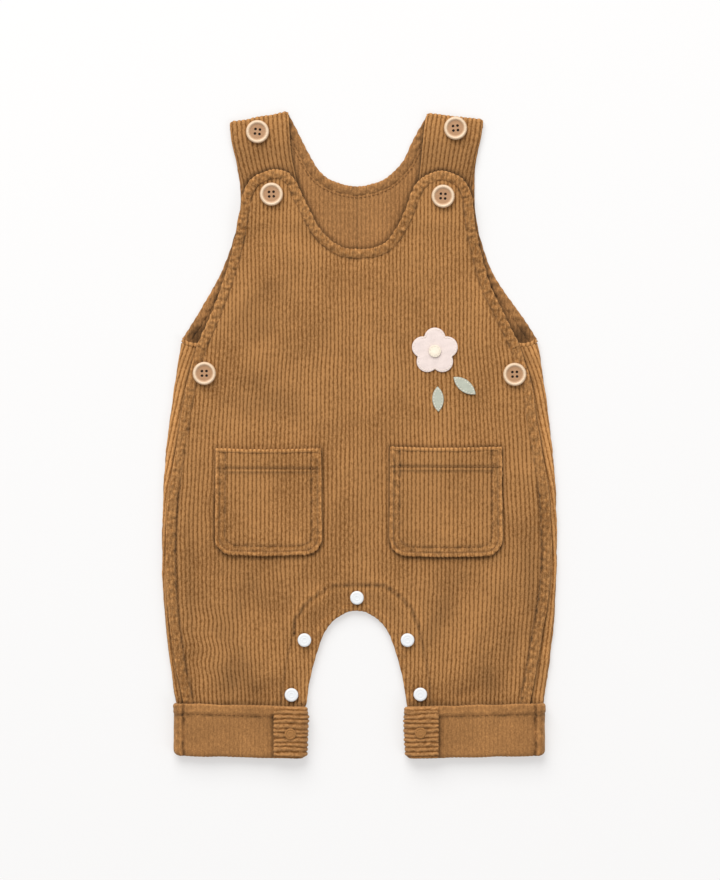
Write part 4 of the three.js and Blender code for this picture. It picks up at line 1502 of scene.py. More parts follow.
    def strap(self, rows: Sequence[tuple[float, float, float, float]], seed: int) -> Surface:
        """The front layer of a strap with its fold over the shoulder; the wales run along it.

        Args:
            rows: Left and right edges of the strap at each level.
            seed: Number of the random draw.

        Returns:
            The closed strap.
        """
        table = np.asarray(rows)
        radius = (STRAP_FOLD - 0.3) / 2
        line = spline(table, 1.3)
        line = np.concatenate([line[:1], line[3:]])
        turn = np.radians(np.linspace(-90, 90, 15))
        back = np.concatenate([[radius + 4], radius - radius * np.cos(turn), np.zeros(len(line) - 1)])
        height = np.concatenate([[0], radius + radius * np.sin(turn), np.full(len(line) - 1, 2 * radius)])
        ny = np.concatenate([[0], np.cos(turn), np.zeros(len(line) - 1)])
        nz = np.concatenate([[-1], np.sin(turn), np.ones(len(line) - 1)])
        rail = np.concatenate([np.repeat(line[:1], len(turn) + 1, axis=0), line[1:]])
        columns = 13 * 4
        share = np.linspace(0, 1, columns + 1)
        across = (share * 13 * WALE)[None] + np.zeros((len(rail), 1))
        x = rail[:, :1] + (rail[:, 2:3] - rail[:, :1]) * share
        y = rail[:, 1:2] + (rail[:, 3:4] - rail[:, 1:2]) * share
        run = np.cumsum(np.concatenate(
            [[0], np.hypot(np.diff(back), np.diff(height)) + np.hypot(*np.diff(rail[:, :2], axis=0).T)]
        ))
        along = -run[:, None] + 0 * across
        near_edge = np.minimum(share, 1 - share) * 42 + 0 * across
        roll = 1.1 * near(near_edge, 1.1) - 0.35 * near(near_edge - 2.2, 1.2)
        up = rib(across + 0.25 * waves(across, along, 30, seed), along) - roll + 0.2 * waves(x, y, 22, seed)
        up = up * smoothstep(nz, -1.0, -0.2)[:, None] - 0.3 * RIB_RISE * smoothstep(nz, -1.0, -0.2)[:, None]

        def layer(out: Array) -> Array:
            """The strap's points at a distance out from its outer face."""
            return np.stack(
                [x, y - back[:, None] + ny[:, None] * out, height[:, None] + nz[:, None] * out], axis=-1
            )

        # Painted highlights along the strap's edges and on its fold, painted shade lower down and beside the
        # tab.
        painted_edge_shading = 0.15 * near(near_edge, 1.0) + 0.12 * near(y - 240, 8)
        painted_edge_shading = painted_edge_shading - 0.2 * smoothstep(y, 230, 212) - 0.5 * near(distance_to(self.covering, x, y), 2.6)
        body = shell(layer(up), layer(np.full_like(up, -1.4)), np.stack([across, along], axis=-1))
        return replace(body, shade=np.concatenate([painted_edge_shading.ravel()] * 2))

    def build(self, finish: Finishes) -> bpy.types.Object:
        """Makes the panel, its edges and its stitches.

        Args:
            finish: The materials.

        Returns:
            The panel.
        """
        rows = np.concatenate([np.arange(243, 60, -2.4), np.arange(60, -188, -12),
            np.arange(-188, -204, -2.5), np.arange(-204, LEG_END - 1, -8)])
        plate = sheet_grid(
            self.cut.back_outline(), 2.0, rows, lambda across, y: across,
                self.top, lambda x, y: self.lay.lifted_back(y)
        )
        whole = plate.shaded(self.shade).joined(self.side(-1), self.side(1),
            self.strap(self.cut.strap_left, 3), self.strap(self.cut.strap_right, 4))
        panel = ride(make_object("back_cloth", whole, finish.corduroy), Slot.CORDUROY)
        panel.data.materials.append(finish.inside)
        look = np.zeros(len(whole.faces), dtype=np.int32)
        look[: len(plate.faces)] = 1
        panel.data.polygons.foreach_set("material_index", look)
        middle = lambda x, y: np.full(np.shape(x), self.hem.thick / 2 - 0.05)
        cloth_of = lambda x, y: x
        edges = [self.hem.along(self.neck, -1, middle, cloth_of, 41)]
        for line, inward in zip(self.armholes, (-1, 1)):
            edges.append(self.hem.along(line, inward, middle, cloth_of, 42))
        turned_edges = edges[0].joined(*edges[1:]).shaded(
            self.hem_shade, lambda x, y: np.full(np.shape(x), 0.5)
        )
        hems = ride(make_object("back_hems", turned_edges, finish.inside), Slot.CORDUROY)
        over = lambda x, y: self.lay.back_top(y) + 0.05
        stitches = [threads(seam, over, 2.2, 1.0, 0.25) for seam in self.neck_seams]
        sewn = ride(
            make_object("back_stitches", stitches[0].joined(stitches[1]), finish.thread), Slot.CORDUROY
        )
        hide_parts("back")
        return panel


@dataclass
class Pocket:
    """A patch pocket with a wide hem at its mouth and two round lower corners."""

    name: str
    node: str
    lay: Lay
    left: float
    right: float
    bottom: float
    mouth: float
    corner: float = 13.0
    hem: float = 14.6
    stitch_in: float = 7.2
    fold_at: float = 17.9  # where the hem's inner fold shows, below the mouth
    edge: Band = Band(width=3.0, thick=2.3, ribs=0.8, pucker=0.2, scallop=0.7)
    flat_area: float = 0.0072

    def outline(self) -> Array:
        """The closed outline."""
        line = self.shape(0.0, self.mouth)
        return np.concatenate([line, spline(self.mouth_line(), 2.0)[1:-1]])

    def mouth_line(self) -> Array:
        """The mouth's edge, from the right end over its slack middle to the left end."""
        line = self.shape(0.0, self.mouth)
        return np.array([line[-1], [(self.left + self.right) / 2, self.mouth - 0.9], line[0]])

    def shade(self, x: Array, y: Array) -> Array:
        """Painted shade and light of the pocket: rim highlights, shade in its seams and at its hem's fold.

        Args:
            x: Places along X, in millimetres.
            y: Places along Y, in millimetres.

        Returns:
            Shade at each place.
        """
        closed = np.concatenate([self.outline(), self.outline()[:1]])
        rim, side = distance_to(respaced(closed, 2.0), x, y), distance_to(self.seams[1], x, y)
        dots = np.clip(0.6 + 0.6 * waves(x, y, 6, 53), 0, 1.2)
        down = self.mouth - y
        # Painted shade in the stitch lines and in the groove inside the edge.
        seams = -0.48 * near(side, 1.1) * dots - 0.6 * near(distance_to(self.seams[0], x, y), 1.0)
        low = smoothstep(down, 6, 12)
        seams = seams - 0.34 * near(rim - 3.3, 0.9) * low
        # Painted highlight below the mouth's stitches and painted shadow at the hem's inner fold.
        fold = 0.16 * near(down - self.hem - 1.6, 1.2) - 0.34 * near(down - self.fold_at, 1.1)
        strip = self.strip(x, y)
        # Random mottle, with the stitched strip a little lighter and the right pocket a little darker
        # overall.
        mottle = (0.11 + 0.13 * waves(x * 0.5, y, 5, 54)) * strip - (0.075 if self.left > 0 else 0.02)
        # A little lighter towards the middle of the pocket.
        warm = 0.08 * near(x - self.left - 50, 24) * near(y - self.bottom - 22, 18)
        # Painted highlight along the rims.
        return 0.3 * near(rim, 1.6) + seams + fold * (1 - 0.6 * strip) + mottle + warm

    def strip(self, x: Array, y: Array) -> Array:
        """1 in the stitched strip along the sides and the bottom, 0 elsewhere."""
        rim = distance_to(respaced(self.shape(0.0, self.mouth), 2.0), x, y)
        return smoothstep(self.stitch_in + 0.6 - rim, 0, 1.4)

    def shape(self, inset: float, mouth: float) -> Array:
        """The sides and the bottom as a line from the left end of the mouth round to its right end.

        Args:
            inset: Distance inwards from the edge, in millimetres.
            mouth: Y of the mouth, in millimetres.

        Returns:
            Points of the line, in millimetres.
        """
        x1, x2, low = self.left + inset, self.right - inset, self.bottom + inset
        round_by = self.corner - inset * 0.55
        turn = np.radians(np.linspace(0, 90, 12))[:, None]
        first = np.array(
            [[x1 + round_by, low + round_by]]
        ) - round_by * np.hstack([np.cos(turn), np.sin(turn)])
        second = np.array(
            [[x2 - round_by, low + round_by]]
        ) + round_by * np.hstack([np.sin(turn), -np.cos(turn)])
        bulge = np.array([[(x1 + x2) / 2, low - 0.8]])
        return respaced(np.concatenate([[[x1 + 0.6, mouth]], first, bulge, second, [[x2 - 0.6, mouth]]]), 0.8)

    def under(self, x: Array, y: Array) -> Array:
        """Underside of the pocket, on the crests of the front."""
        return self.lay.front_bottom(x, y) + PANEL_WALL + RIB_RISE + 0.35

    def worn(self, x: Array, y: Array) -> Array:
        """Where the ribs are pressed flat: in the stitched strip."""
        return 0.65 * self.strip(x, y)

    def top(self, x: Array, y: Array, across: Array) -> Array:
        """Upper side of the pocket: thicker where the hem at its mouth is doubled.

        Args:
            x: Places along X, in millimetres.
            y: Places along Y, in millimetres.
            across: Places across the wales, in millimetres.

        Returns:
            Height at each place, in millimetres.
        """
        doubled = 0.5 * smoothstep(y, self.mouth - self.fold_at - 0.5, self.mouth - self.fold_at + 0.5)
        held = grooves(self.seams[:1], x, y, 0.6, 0.9) + grooves(self.seams[1:], x, y, 0.35, 0.9)
        swell = 0.25 * waves(x, y, 40, len(self.name)) + 0.2 * waves(x, y, 13, 5 + len(self.name))
        from_side = np.minimum(x - self.left, self.right - x)
        swell = swell + 0.45 * waves(x * 0.3, y, 5.5, 55) * smoothstep(self.stitch_in - from_side, 0, 2)
        ribs = rib(across, y, 9) * (1 - 0.6 * held) * (1 - 0.5 * self.strip(x, y))
        return self.under(x, y) + 1.25 + doubled + swell * 0.6 + ribs - held

    def __post_init__(self) -> None:
        """Draws the stitches."""
        mouth_stitch = np.array(
            [[self.left + 1.5, self.mouth - self.hem], [self.right - 1.5, self.mouth - self.hem - 0.4]]
        )
        inner = self.shape(self.stitch_in, self.mouth - 3)
        self.lines = [respaced(mouth_stitch, 1.0), inner]
        self.seams = [respaced(line, 2.0) for line in self.lines]

    def build(self, finish: Finishes) -> bpy.types.Object:
        """Makes the pocket with its edges and stitches.

        Args:
            finish: The materials.

        Returns:
            The pocket.
        """
        line = self.shape(0.0, self.mouth)
        rows = np.arange(self.mouth + 1, self.bottom - 2, -1.25)
        x_of = lambda across, y: across * 0.995 + 0.004 * y
        cloth = sheet_grid(self.outline(), 1.3, rows, x_of, self.top, self.under)
        pocket = ride(
            make_object(self.name, cloth.shaded(self.shade, self.worn), finish.corduroy), Slot.CORDUROY
        )
        cloth_of = lambda x, y: (x - 0.004 * y) / 0.995

        def middle(x: Array, y: Array) -> Array:
            """Height of the middle of the edge."""
            return self.under(x, y) + self.edge.thick / 2 + 0.3 * smoothstep(
                y, self.mouth - 16, self.mouth - 6
            )

        sides = self.edge.along(line, 1, middle, cloth_of, 51)
        top_edge = self.edge.along(spline(self.mouth_line(), 0.7), 1, middle, cloth_of, 52)
        rims = sides.joined(top_edge).shaded(self.shade, self.worn)
        edges = ride(make_object(f"{self.name}_edges", rims, finish.corduroy), Slot.CORDUROY)
        over = lambda x, y: self.top(x, y, x * 0 + WALE / 2) + 0.5
        first, second = (threads(item, over) for item in self.lines)
        sewn = ride(make_object(f"{self.name}_stitches", first.joined(second), finish.thread), Slot.CORDUROY)
        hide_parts(self.node)
        return pocket


@dataclass
class TurnedCuff:
    """The end of a leg, turned up: the plain wrong side of the cloth all round the leg."""

    name: str
    side: int
    outer: float
    inner: float
    tall: tuple[float, float] = (10.9, 9.6)
    floor_corner: float = 2.4
    top_corner: float = 5.0
    hem: float = 7.6
    roll_at: float = 6.8  # the side seam's roll, from the outer edge
    facing: float = 24.4
    flat: tuple[float, float] = (0.212, 0.041)

    def section(self, tall: Array, spacing: float = 1.0) -> tuple[Array, Array, Array]:
        """The cuff's section: x, z and the outward directions, as rows by points.

        The section is a rectangle with round corners that starts in the middle of the floor and goes
        round past the right side, over the top and down the left side.

        Args:
            tall: Half height of the cuff at each step, in millimetres.
            spacing: Distance between points, in millimetres.

        Returns:
            x, z and the outward directions, as rows by points.
        """
        low, high = min(self.outer, self.inner), max(self.outer, self.inner)
        centre = (low + high) / 2
        corners = (
            (high - self.floor_corner, self.floor_corner, self.floor_corner, -90),
            (high - self.top_corner, None, self.top_corner, 0),
            (low + self.top_corner, None, self.top_corner, 90),
            (low + self.floor_corner, self.floor_corner, self.floor_corner, 180),
        )
        x, z, nx, nz = [np.full_like(tall, centre)], [np.zeros_like(tall)], [0.0], [-1.0]
        for cx, cz, radius, start in corners:
            height = tall - radius if cz is None else np.full_like(tall, cz)
            angles = np.radians(np.linspace(start, start + 90, max(5, int(radius * 1.6 / spacing))))
            for angle in angles:
                x.append(np.full_like(tall, cx + radius * np.cos(angle)))
                z.append(height + radius * np.sin(angle))
                nx.append(float(np.cos(angle)))
                nz.append(float(np.sin(angle)))
        for values, last in ((x, x[0]), (z, z[0]), (nx, 0.0), (nz, -1.0)):
            values.append(last)
        fine_x, fine_z, fine_nx, fine_nz = [], [], [], []
        for at in range(len(x) - 1):
            gap = max(np.hypot(x[at + 1] - x[at], z[at + 1] - z[at]).max(), 1e-6)
            for share in np.linspace(0, 1, max(2, int(gap / spacing) + 1))[:-1]:
                fine_x.append(x[at] * (1 - share) + x[at + 1] * share)
                fine_z.append(z[at] * (1 - share) + z[at + 1] * share)
                fine_nx.append(nx[at] * (1 - share) + nx[at + 1] * share)
                fine_nz.append(nz[at] * (1 - share) + nz[at + 1] * share)
        normal = np.stack([np.array(fine_nx), np.array(fine_nz)], axis=-1)
        return np.stack(fine_x, axis=1), np.stack(fine_z, axis=1), normal

    def tall_at(self, y: Array) -> Array:
        """Height of the cuff's top at a level."""
        share = (CUFF_TOP - y) / (CUFF_TOP - CUFF_HEM)
        return self.tall[0] + (self.tall[1] - self.tall[0]) * share

    def rounded(self, x: Array, down: Array) -> Array:
        """x drawn in towards the middle at the cuff's corners, seen from above.

        Args:
            x: Places along X, in millimetres.
            down: Distance below the upper edge, in millimetres.

        Returns:
            Places along X, in millimetres.
        """
        low, high = min(self.outer, self.inner), max(self.outer, self.inner)
        share = (x - (low + high) / 2) / ((high - low) / 2)
        at_hem, at_top = np.clip((down - 35.5) / 5.2, 0, 1), np.clip((2.4 - down) / 2.4, 0, 1)
        drawn = 3.6 * (1 - np.sqrt(1 - 0.98 * at_hem**2)) + 1.3 * (1 - np.sqrt(1 - 0.98 * at_top**2))
        taper = 1.5 * np.clip(down / 40, 0, 1) * np.clip(-share * self.side, 0, 1) ** 5 * self.side
        return x - drawn * np.sign(share) * np.abs(share) ** 9 + taper

    def tilted(self, x: Array, down: Array) -> Array:
        """How far the cloth lies further up than in a straight cuff, more so towards the outer side.

        Args:
            x: Places along X, in millimetres.
            down: Distance below the upper edge, in millimetres.

        Returns:
            Rise at each place, in millimetres.
        """
        out = np.clip((x - self.inner) / (self.outer - self.inner), 0, 1)
        low = down / (CUFF_TOP - CUFF_HEM)
        return (-0.9 + 2.5 * out) * (1 - low) + (0.5 + 2.2 * out) * low

    def shade(self, x: Array, y: Array) -> Array:
        """Painted shade and light of the cuff: edge highlights, shade in the roll's ditch and beside the
        facing.

        Args:
            x: Places along X, in millimetres.
            y: Places along Y, in millimetres.

        Returns:
            Shade at each place.
        """
        out = np.clip((x - self.inner) / (self.outer - self.inner), 0, 1)
        down = CUFF_TOP - y
        down = (down + 0.9 * (-1 + 2.8 * out)) * (CUFF_TOP - CUFF_HEM) / (CUFF_TOP - CUFF_HEM + 1.4)
        # Painted highlights along the upper and lower edges.
        painted_edge_shading = 0.14 * near(down, 1.5) + 0.08 * near(down - 39.5, 1.5)
        from_side = np.abs(x - self.outer)
        # Painted shade in the ditch beside the side seam's roll.
        ditch = -0.85 * near(from_side - self.roll_at - 0.5 - 0.5 * waves(x * 0, y, 5, 84), 0.95)
        ditch = ditch * np.clip(0.7 + 0.4 * waves(x * 0, y, 16, 85), 0, 1.1)
        # Painted highlight on the roll's edge, with random mottle on the roll.
        edge = 0.16 * near(
            from_side - self.roll_at + 1.1, 1.0
        ) + 0.13 * waves(x, y, 4.5, 89) * (from_side < self.roll_at)
        # Painted shade beside the facing.
        beside = np.maximum(np.abs(x - self.inner) - self.facing, 0)
        dark = (
            -0.32 * near(beside, 1.8) * smoothstep(down, 3, 9)
            - 0.15 * near(beside, 8) * smoothstep(down, 4, 12)
        )
        # Painted shade along the hem's stitch line.
        seam = -0.45 * near(
            down - self.hem - 0.6 - 0.3 * waves(x, y * 0, 5, 83), 0.9
        ) * np.clip(0.85 + 0.4 * waves(x, y * 0, 8, 86), 0, 1.3)
        return painted_edge_shading + ditch + edge + dark + seam + 0.05 * waves(x, y, 26, 87) + 0.035 * waves(x, y, 5, 88)

    def relief(self, x: Array, y: Array) -> Array:
        """Relief of the cuff's outer face, in millimetres outwards.

        The hem strip along the upper edge stands out over its stitches, the side seam is a puckered
        roll, and the cloth between them is slack.

        Args:
            x: Places along X, in millimetres.
            y: Places along Y, in millimetres.

        Returns:
            Relief at each place, in millimetres.
        """
        down = CUFF_TOP - y
        edge_ribs = rib(x, y, 5) / RIB_RISE - 0.5
        strip = (
            0.55 * smoothstep(self.hem - down, -0.7, 1.2)
            + 0.2 * waves(x, y, 6, 71) * smoothstep(self.hem - down, -2.5, 1)
        )
        stitched = -0.4 * near(down - self.hem, 0.9) * (1 + 0.5 * waves(x, y * 0, 7, 77))
        from_side = np.abs(x - self.outer)
        roll = 1.0 * np.exp(
            -(((from_side - self.roll_at + 3) / 2.6) ** 4)
        ) * (1 + 0.25 * waves(x * 0.2, y, 5, 72))
        ditch = -1.5 * np.exp(
            -(((from_side - self.roll_at - 0.6) / 0.9) ** 2)
        ) * (1 + 0.4 * waves(x * 0, y, 7, 73))
        at_facing = np.abs(np.abs(x - self.inner) - self.facing)
        pull = (
            -1.1 * np.exp(-((at_facing / 3.5) ** 2))
            * smoothstep(down, 6, 12) * smoothstep(36 - down, 0, 5)
        )
        slack = 0.45 * waves(x, y, 32, 74) + 0.14 * waves(x, y, 12, 75)
        fine = 0.14 * edge_ribs
        return strip + stitched + roll + ditch + pull + slack * smoothstep(down, 0, 12) + fine

    def build(self, finish: Finishes) -> bpy.types.Object:
        """Makes the cuff with its stitches.

        Args:
            finish: The materials.

        Returns:
            The cuff.
        """
        steps = np.concatenate([[0, 0.25, 0.7, 1.3], np.arange(2.1, 38.6, 0.95), [39.2, 39.8, 40.2, 40.5]])
        y = CUFF_TOP - steps
        x, z, normal = self.section(self.tall_at(y))
        level = y[:, None] + 0 * x
        nx, nz = normal[None, :, 0] + 0 * x, normal[None, :, 1] + 0 * x
        on_top = np.clip(nz + 0.6, 0, 1)
        fold = 3.0 * (1 - np.sqrt(np.clip(1 - np.clip((steps - 37.5) / 3.2, 0, 1) ** 2, 0, 1)))
        lip = 0.9 * np.clip(1 - steps / 1.1, 0, 1) ** 2
        rounding = -(fold + lip)[:, None]
        out = (self.relief(x, level) + rounding) * on_top
        scallop = 0.4 * (rib(x, level, 6) / RIB_RISE - 0.5) * on_top
        wavy = 0.25 * waves(x, level * 0, 34, 76 + self.side)
        at_top = np.clip(1 - steps / 4, 0, 1)[:, None]
        at_hem = np.clip((steps - 36.5) / 4, 0, 1)[:, None]
        level_out = level + at_top * (scallop + wavy) - at_hem * (scallop * 0.6 + wavy * 0.8)
        level_out = level_out + self.tilted(x, steps[:, None])
        x = self.rounded(x, steps[:, None])
        outer = np.stack([x + nx * out, level_out, np.maximum(z + nz * out, 0)], axis=-1)
        back_in = np.minimum(-BACK_WALL + 0.0 * out, out - 1.1)
        inner = np.stack([x + nx * back_in, level_out, z + nz * back_in], axis=-1)
        run = np.cumsum(np.concatenate([[0], np.hypot(np.diff(x[0]), np.diff(z[0]))]))
        cloth = np.stack([run[None] + 0 * x, level], axis=-1)
        rows, columns = x.shape
        points = np.concatenate([outer.reshape(-1, 3), inner.reshape(-1, 3)])
        half = rows * columns
        ring = grid_faces(rows, columns, around=True)
        index = np.arange(half).reshape(rows, columns)
        rims = [
            np.stack([np.roll(edge, -1), edge, edge + half, np.roll(edge, -1) + half], axis=1)
            for edge in (index[0], index[-1][::-1])
        ]
        surface = Surface(points, np.concatenate(
            [ring, ring[:, ::-1] + half, *rims]
        ), np.concatenate([cloth.reshape(-1, 2)] * 2))
        surface = surface.facing_out().shaded(self.shade)
        cuff = ride(make_object(self.name, surface, finish.plain), Slot.WRONG_SIDE)
        from_x = self.outer - self.side * 10
        to_x = self.inner + self.side * (self.facing + 1.5)
        hem_line = np.array([[from_x, CUFF_TOP - self.hem], [to_x, CUFF_TOP - self.hem - 0.5]])
        roll_line = np.array([
            [self.outer - self.side * (self.roll_at + 0.4), CUFF_TOP - 2],
            [self.outer - self.side * (self.roll_at + 0.4), CUFF_HEM + 3],
        ])
        over = lambda px, py: self.tall_at(py) + self.relief(px, py) + 0.28
        sewn = threads(hem_line, over, 2.4, 0.9, 0.26).joined(threads(roll_line, over, 1.9, 1.2, 0.24))
        down = CUFF_TOP - sewn.points[:, 1]
        sewn.points[:, 1] += self.tilted(sewn.points[:, 0], down)
        stitches = ride(make_object(f"{self.name}_stitches", sewn, finish.thread), Slot.WRONG_SIDE)
        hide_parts(self.name.replace("turned_", ""))
        return cuff


@dataclass
class CuffFacing:
    """The inseam facing that shows on a turned-up cuff, with its wales running across the leg."""

    name: str
    cuff: TurnedCuff
    width: float
    wall: float = 1.5
    flat: tuple[float, float] = (0.036, 0.040)

    def build(self, finish: Finishes) -> bpy.types.Object:
        """Makes the facing.

        Args:
            finish: The materials.

        Returns:
            The facing.
        """
        side, cuff = self.cuff.side, self.cuff
        steps = np.arange(0, 40.01, WALE / 5)
        y = CUFF_TOP - 0.9 + 0.5 - steps
        x, z, normal = cuff.section(cuff.tall_at(y), 0.9)
        shown = side * (cuff.inner + side * self.width - x[0]) > 0
        path = np.flatnonzero(shown & (z.mean(axis=0) > cuff.floor_corner + 0.2))
        path = path[::-1] if side > 0 else path
        x, z = x[:, path], z[:, path]
        nx, nz = normal[path, 0][None] + 0 * x, normal[path, 1][None] + 0 * x
        level = y[:, None] + 0 * x
        run = np.concatenate([
            np.zeros((len(y), 1)), np.cumsum(np.hypot(np.diff(x, axis=1), np.diff(z, axis=1)), axis=1)
        ], axis=1)
        length = run[:, -1:]
        down = CUFF_TOP - level
        seat_x, seat_y = self.seat()
        pucker = np.clip((length - run) / 9, 0, 1)
        wander = 0.3 * waves(x, level, 14, 81) + 0.5 * waves(x, level, 6, 83) * (1 - pucker)
        ribs = rib(
            (level - CUFF_TOP) * 0.87 + 0.6 + wander, x, 7
        ) * 1.7 * smoothstep(steps[:, None], 3.4, 5.2)
        free = np.minimum(run + 2, length - run)
        roll = 1.0 * np.exp(-((free / 0.9) ** 2)) + 0.9 * np.exp(
            -(((steps[:, None]) / 0.9) ** 2)
        ) + 1.3 * near(40 - steps[:, None], 1.2)
        dome = -0.25 * np.exp(-((((x - seat_x) / 5.2) ** 2 + ((level - seat_y) / 5.2) ** 2) ** 2))
        out = 0.3 + self.wall + ribs - roll + 0.25 * waves(x, level, 15, 82) + dome
        scallop = 0.45 * (rib(level, x) / RIB_RISE - 0.5) * np.exp(-((length - run) / 1.2)) * side
        curl = 1.6 * np.clip((down - 36) / 5, 0, 1) ** 2 * np.exp(-run / 5) * side
        flat_x = cuff.rounded(x, down) + scallop + curl * 0.3
        shifted = level + cuff.tilted(x, down)
        outer = np.stack([flat_x + nx * out, shifted, z + nz * out], axis=-1)
        inner = np.stack([flat_x + nx * 0.3, shifted, z + nz * 0.3], axis=-1)
        cloth = np.stack([(level - CUFF_TOP) * 0.87 + 0.6 + wander, x], axis=-1)
        # Painted highlights on the free edge and the upper edge, a painted shade line below it, a painted
        # shadow round the snap's seat, random tone, and the whole a little darker.
        painted_edge_shading = (
            0.16 * near(free, 1.2) + 0.14 * near(steps[:, None] - 1.5, 2.2)
            - 0.2 * near(steps[:, None] - 4.4, 0.8)
        )
        ring = -0.25 * near(np.hypot(x - seat_x, shifted - seat_y) - 4.9, 0.8)
        shade = painted_edge_shading + ring + 0.08 * waves(x, level, 5, 84) - 0.06
        surface = replace(shell(outer, inner, cloth), shade=np.concatenate([shade.ravel()] * 2))
        facing = ride(make_object(self.name, surface, finish.facing), Slot.CORDUROY)
        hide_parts(self.name.replace("inseam_", "cuff_"))
        return facing

    def seat(self) -> tuple[float, float]:
        """Where the snap's seat is: x and y."""
        return (-51.8, -223.8) if self.cuff.side < 0 else (45.6, -223.0)


def turned(
    centre: tuple[float, float, float], profile: Array, steps: int, dent: Height | None = None
) -> Surface:
    """A round body turned about a vertical axis.

    Args:
        centre: x, y and z of the axis' foot.
        profile: Radius and height of each ring, from the middle of the top over the edge to the middle
            of the underside.
        steps: Points on each ring.
        dent: Gives how deep the body is sunk at x and y from the centre.

    Returns:
        The closed surface, with the radius and the depth of the dent as cloth coordinates.
    """

    def section(along: Array, round_it: Array) -> tuple[Array, Array]:
        """Points of the rings.

        Args:
            along: Place along the shape.
            round_it: Place round the shape.

        Returns:
            Points, and the cloth coordinate of each.
        """
        turn = 2 * np.pi * (round_it + 0.5) / steps
        radius, height = profile[along, 0], profile[along, 1]
        x, y = radius * np.cos(turn), radius * np.sin(turn)
        depth = dent(x, y) * (along < len(profile) // 2) if dent else np.zeros_like(x)
        points = np.stack([centre[0] + x, centre[1] + y, centre[2] + height - depth], axis=-1)
        return points, np.stack([radius, depth], axis=-1)

    return sweep(np.zeros((len(profile), 2)), section, steps)


def rings(corners: Sequence[tuple[float, float]], counts: Sequence[int]) -> Array:
    """Rings between given corners of a profile, with a number of them on each stretch.

    Args:
        corners: Corners of the profile.
        counts: Number of rings on each stretch.

    Returns:
        Points of the rings.
    """
    table = np.asarray(corners, dtype=float)
    stretches = [
        np.linspace(table[at], table[at + 1], count, endpoint=False) for at, count in enumerate(counts)
    ]
    return np.concatenate([*stretches, table[-1:]])


@dataclass
class Button:
    """A turned wooden button with a raised rim, a shallow dish and four holes."""

    node: str
    x: float
    y: float
    z: float
    turn: float = 0.0
    radius: float = 8.7
    tall: float = 3.2
    hole: float = 0.92
    hole_out: float = 2.4

    def holes(self, x: Array, y: Array) -> Array:
        """Depth of the four holes.

        Args:
            x: Places along X, in millimetres.
            y: Places along Y, in millimetres.

        Returns:
            Depth at each place, in millimetres.
        """
        depth = np.zeros(np.shape(x))
        for quarter in range(4):
            angle = self.turn + np.pi / 4 + quarter * np.pi / 2
            away = np.hypot(x - self.hole_out * np.cos(angle), y - self.hole_out * np.sin(angle))
            depth = np.maximum(depth, 1.7 * smoothstep(self.hole + 0.12 - away, 0, 0.24))
        return depth

    def build(self, finish: Finishes) -> bpy.types.Object:
        """Makes the button.

        Args:
            finish: The materials.

        Returns:
            The button.
        """
        r, t = self.radius, self.tall
        corners = (
            (0.05, t - 1.25), (3.9, t - 1.25), (5.6, t - 1.2), (6.15, t - 0.75), (6.7, t - 0.2), (7.3, t),
            (7.9, t - 0.12), (8.45, t - 0.6), (r, t - 1.3), (r - 0.05,
            t - 1.9), (8.1, 0.5), (7.2, 0.0), (0.05, 0.0),
        )
        profile = rings(corners, (26, 6, 4, 3, 3, 3, 3, 2, 2, 3, 2, 4))
        body = turned((self.x, self.y, self.z), profile, 96, self.holes)
        button = ride(make_object(f"{self.node}_turned", body, finish.wood), Slot.WOOD)
        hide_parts(self.node)
        return button


@dataclass
class Snap:
    """A moulded snap cap with a low dome, a faint ring and a rounded edge."""

    node: str
    x: float
    y: float
    z: float
    radius: float = 5.1
    tall: float = 2.0
    ring: float = 0.14
    slot: Slot = Slot.WHITE

    def build(self, finish: Finishes) -> bpy.types.Object:
        """Makes the cap.

        Args:
            finish: The materials.

        Returns:
            The cap.
        """
        r, t = self.radius, self.tall
        corners = (
            (0.05, t - 0.16), (1.3, t - 0.14), (1.6, t - 0.02), (2.0,
            t - 0.1), (2.9, t - self.ring), (3.3, t - 0.04),
            (r - 0.9, t - 0.12), (r - 0.35, t - 0.35), (r, t - 0.95),
            (r - 0.1, 0.3), (r - 0.5, 0.0), (0.05, 0.0),
        )
        profile = rings(corners, (3, 3, 3, 3, 3, 3, 4, 4, 3, 2, 3))
        body = turned((self.x, self.y, self.z), profile, 64)
        material = finish.white if self.slot is Slot.WHITE else finish.socket
        cap = ride(make_object(f"{self.node}_cap", body, material), self.slot)
        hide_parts(self.node)
        return cap


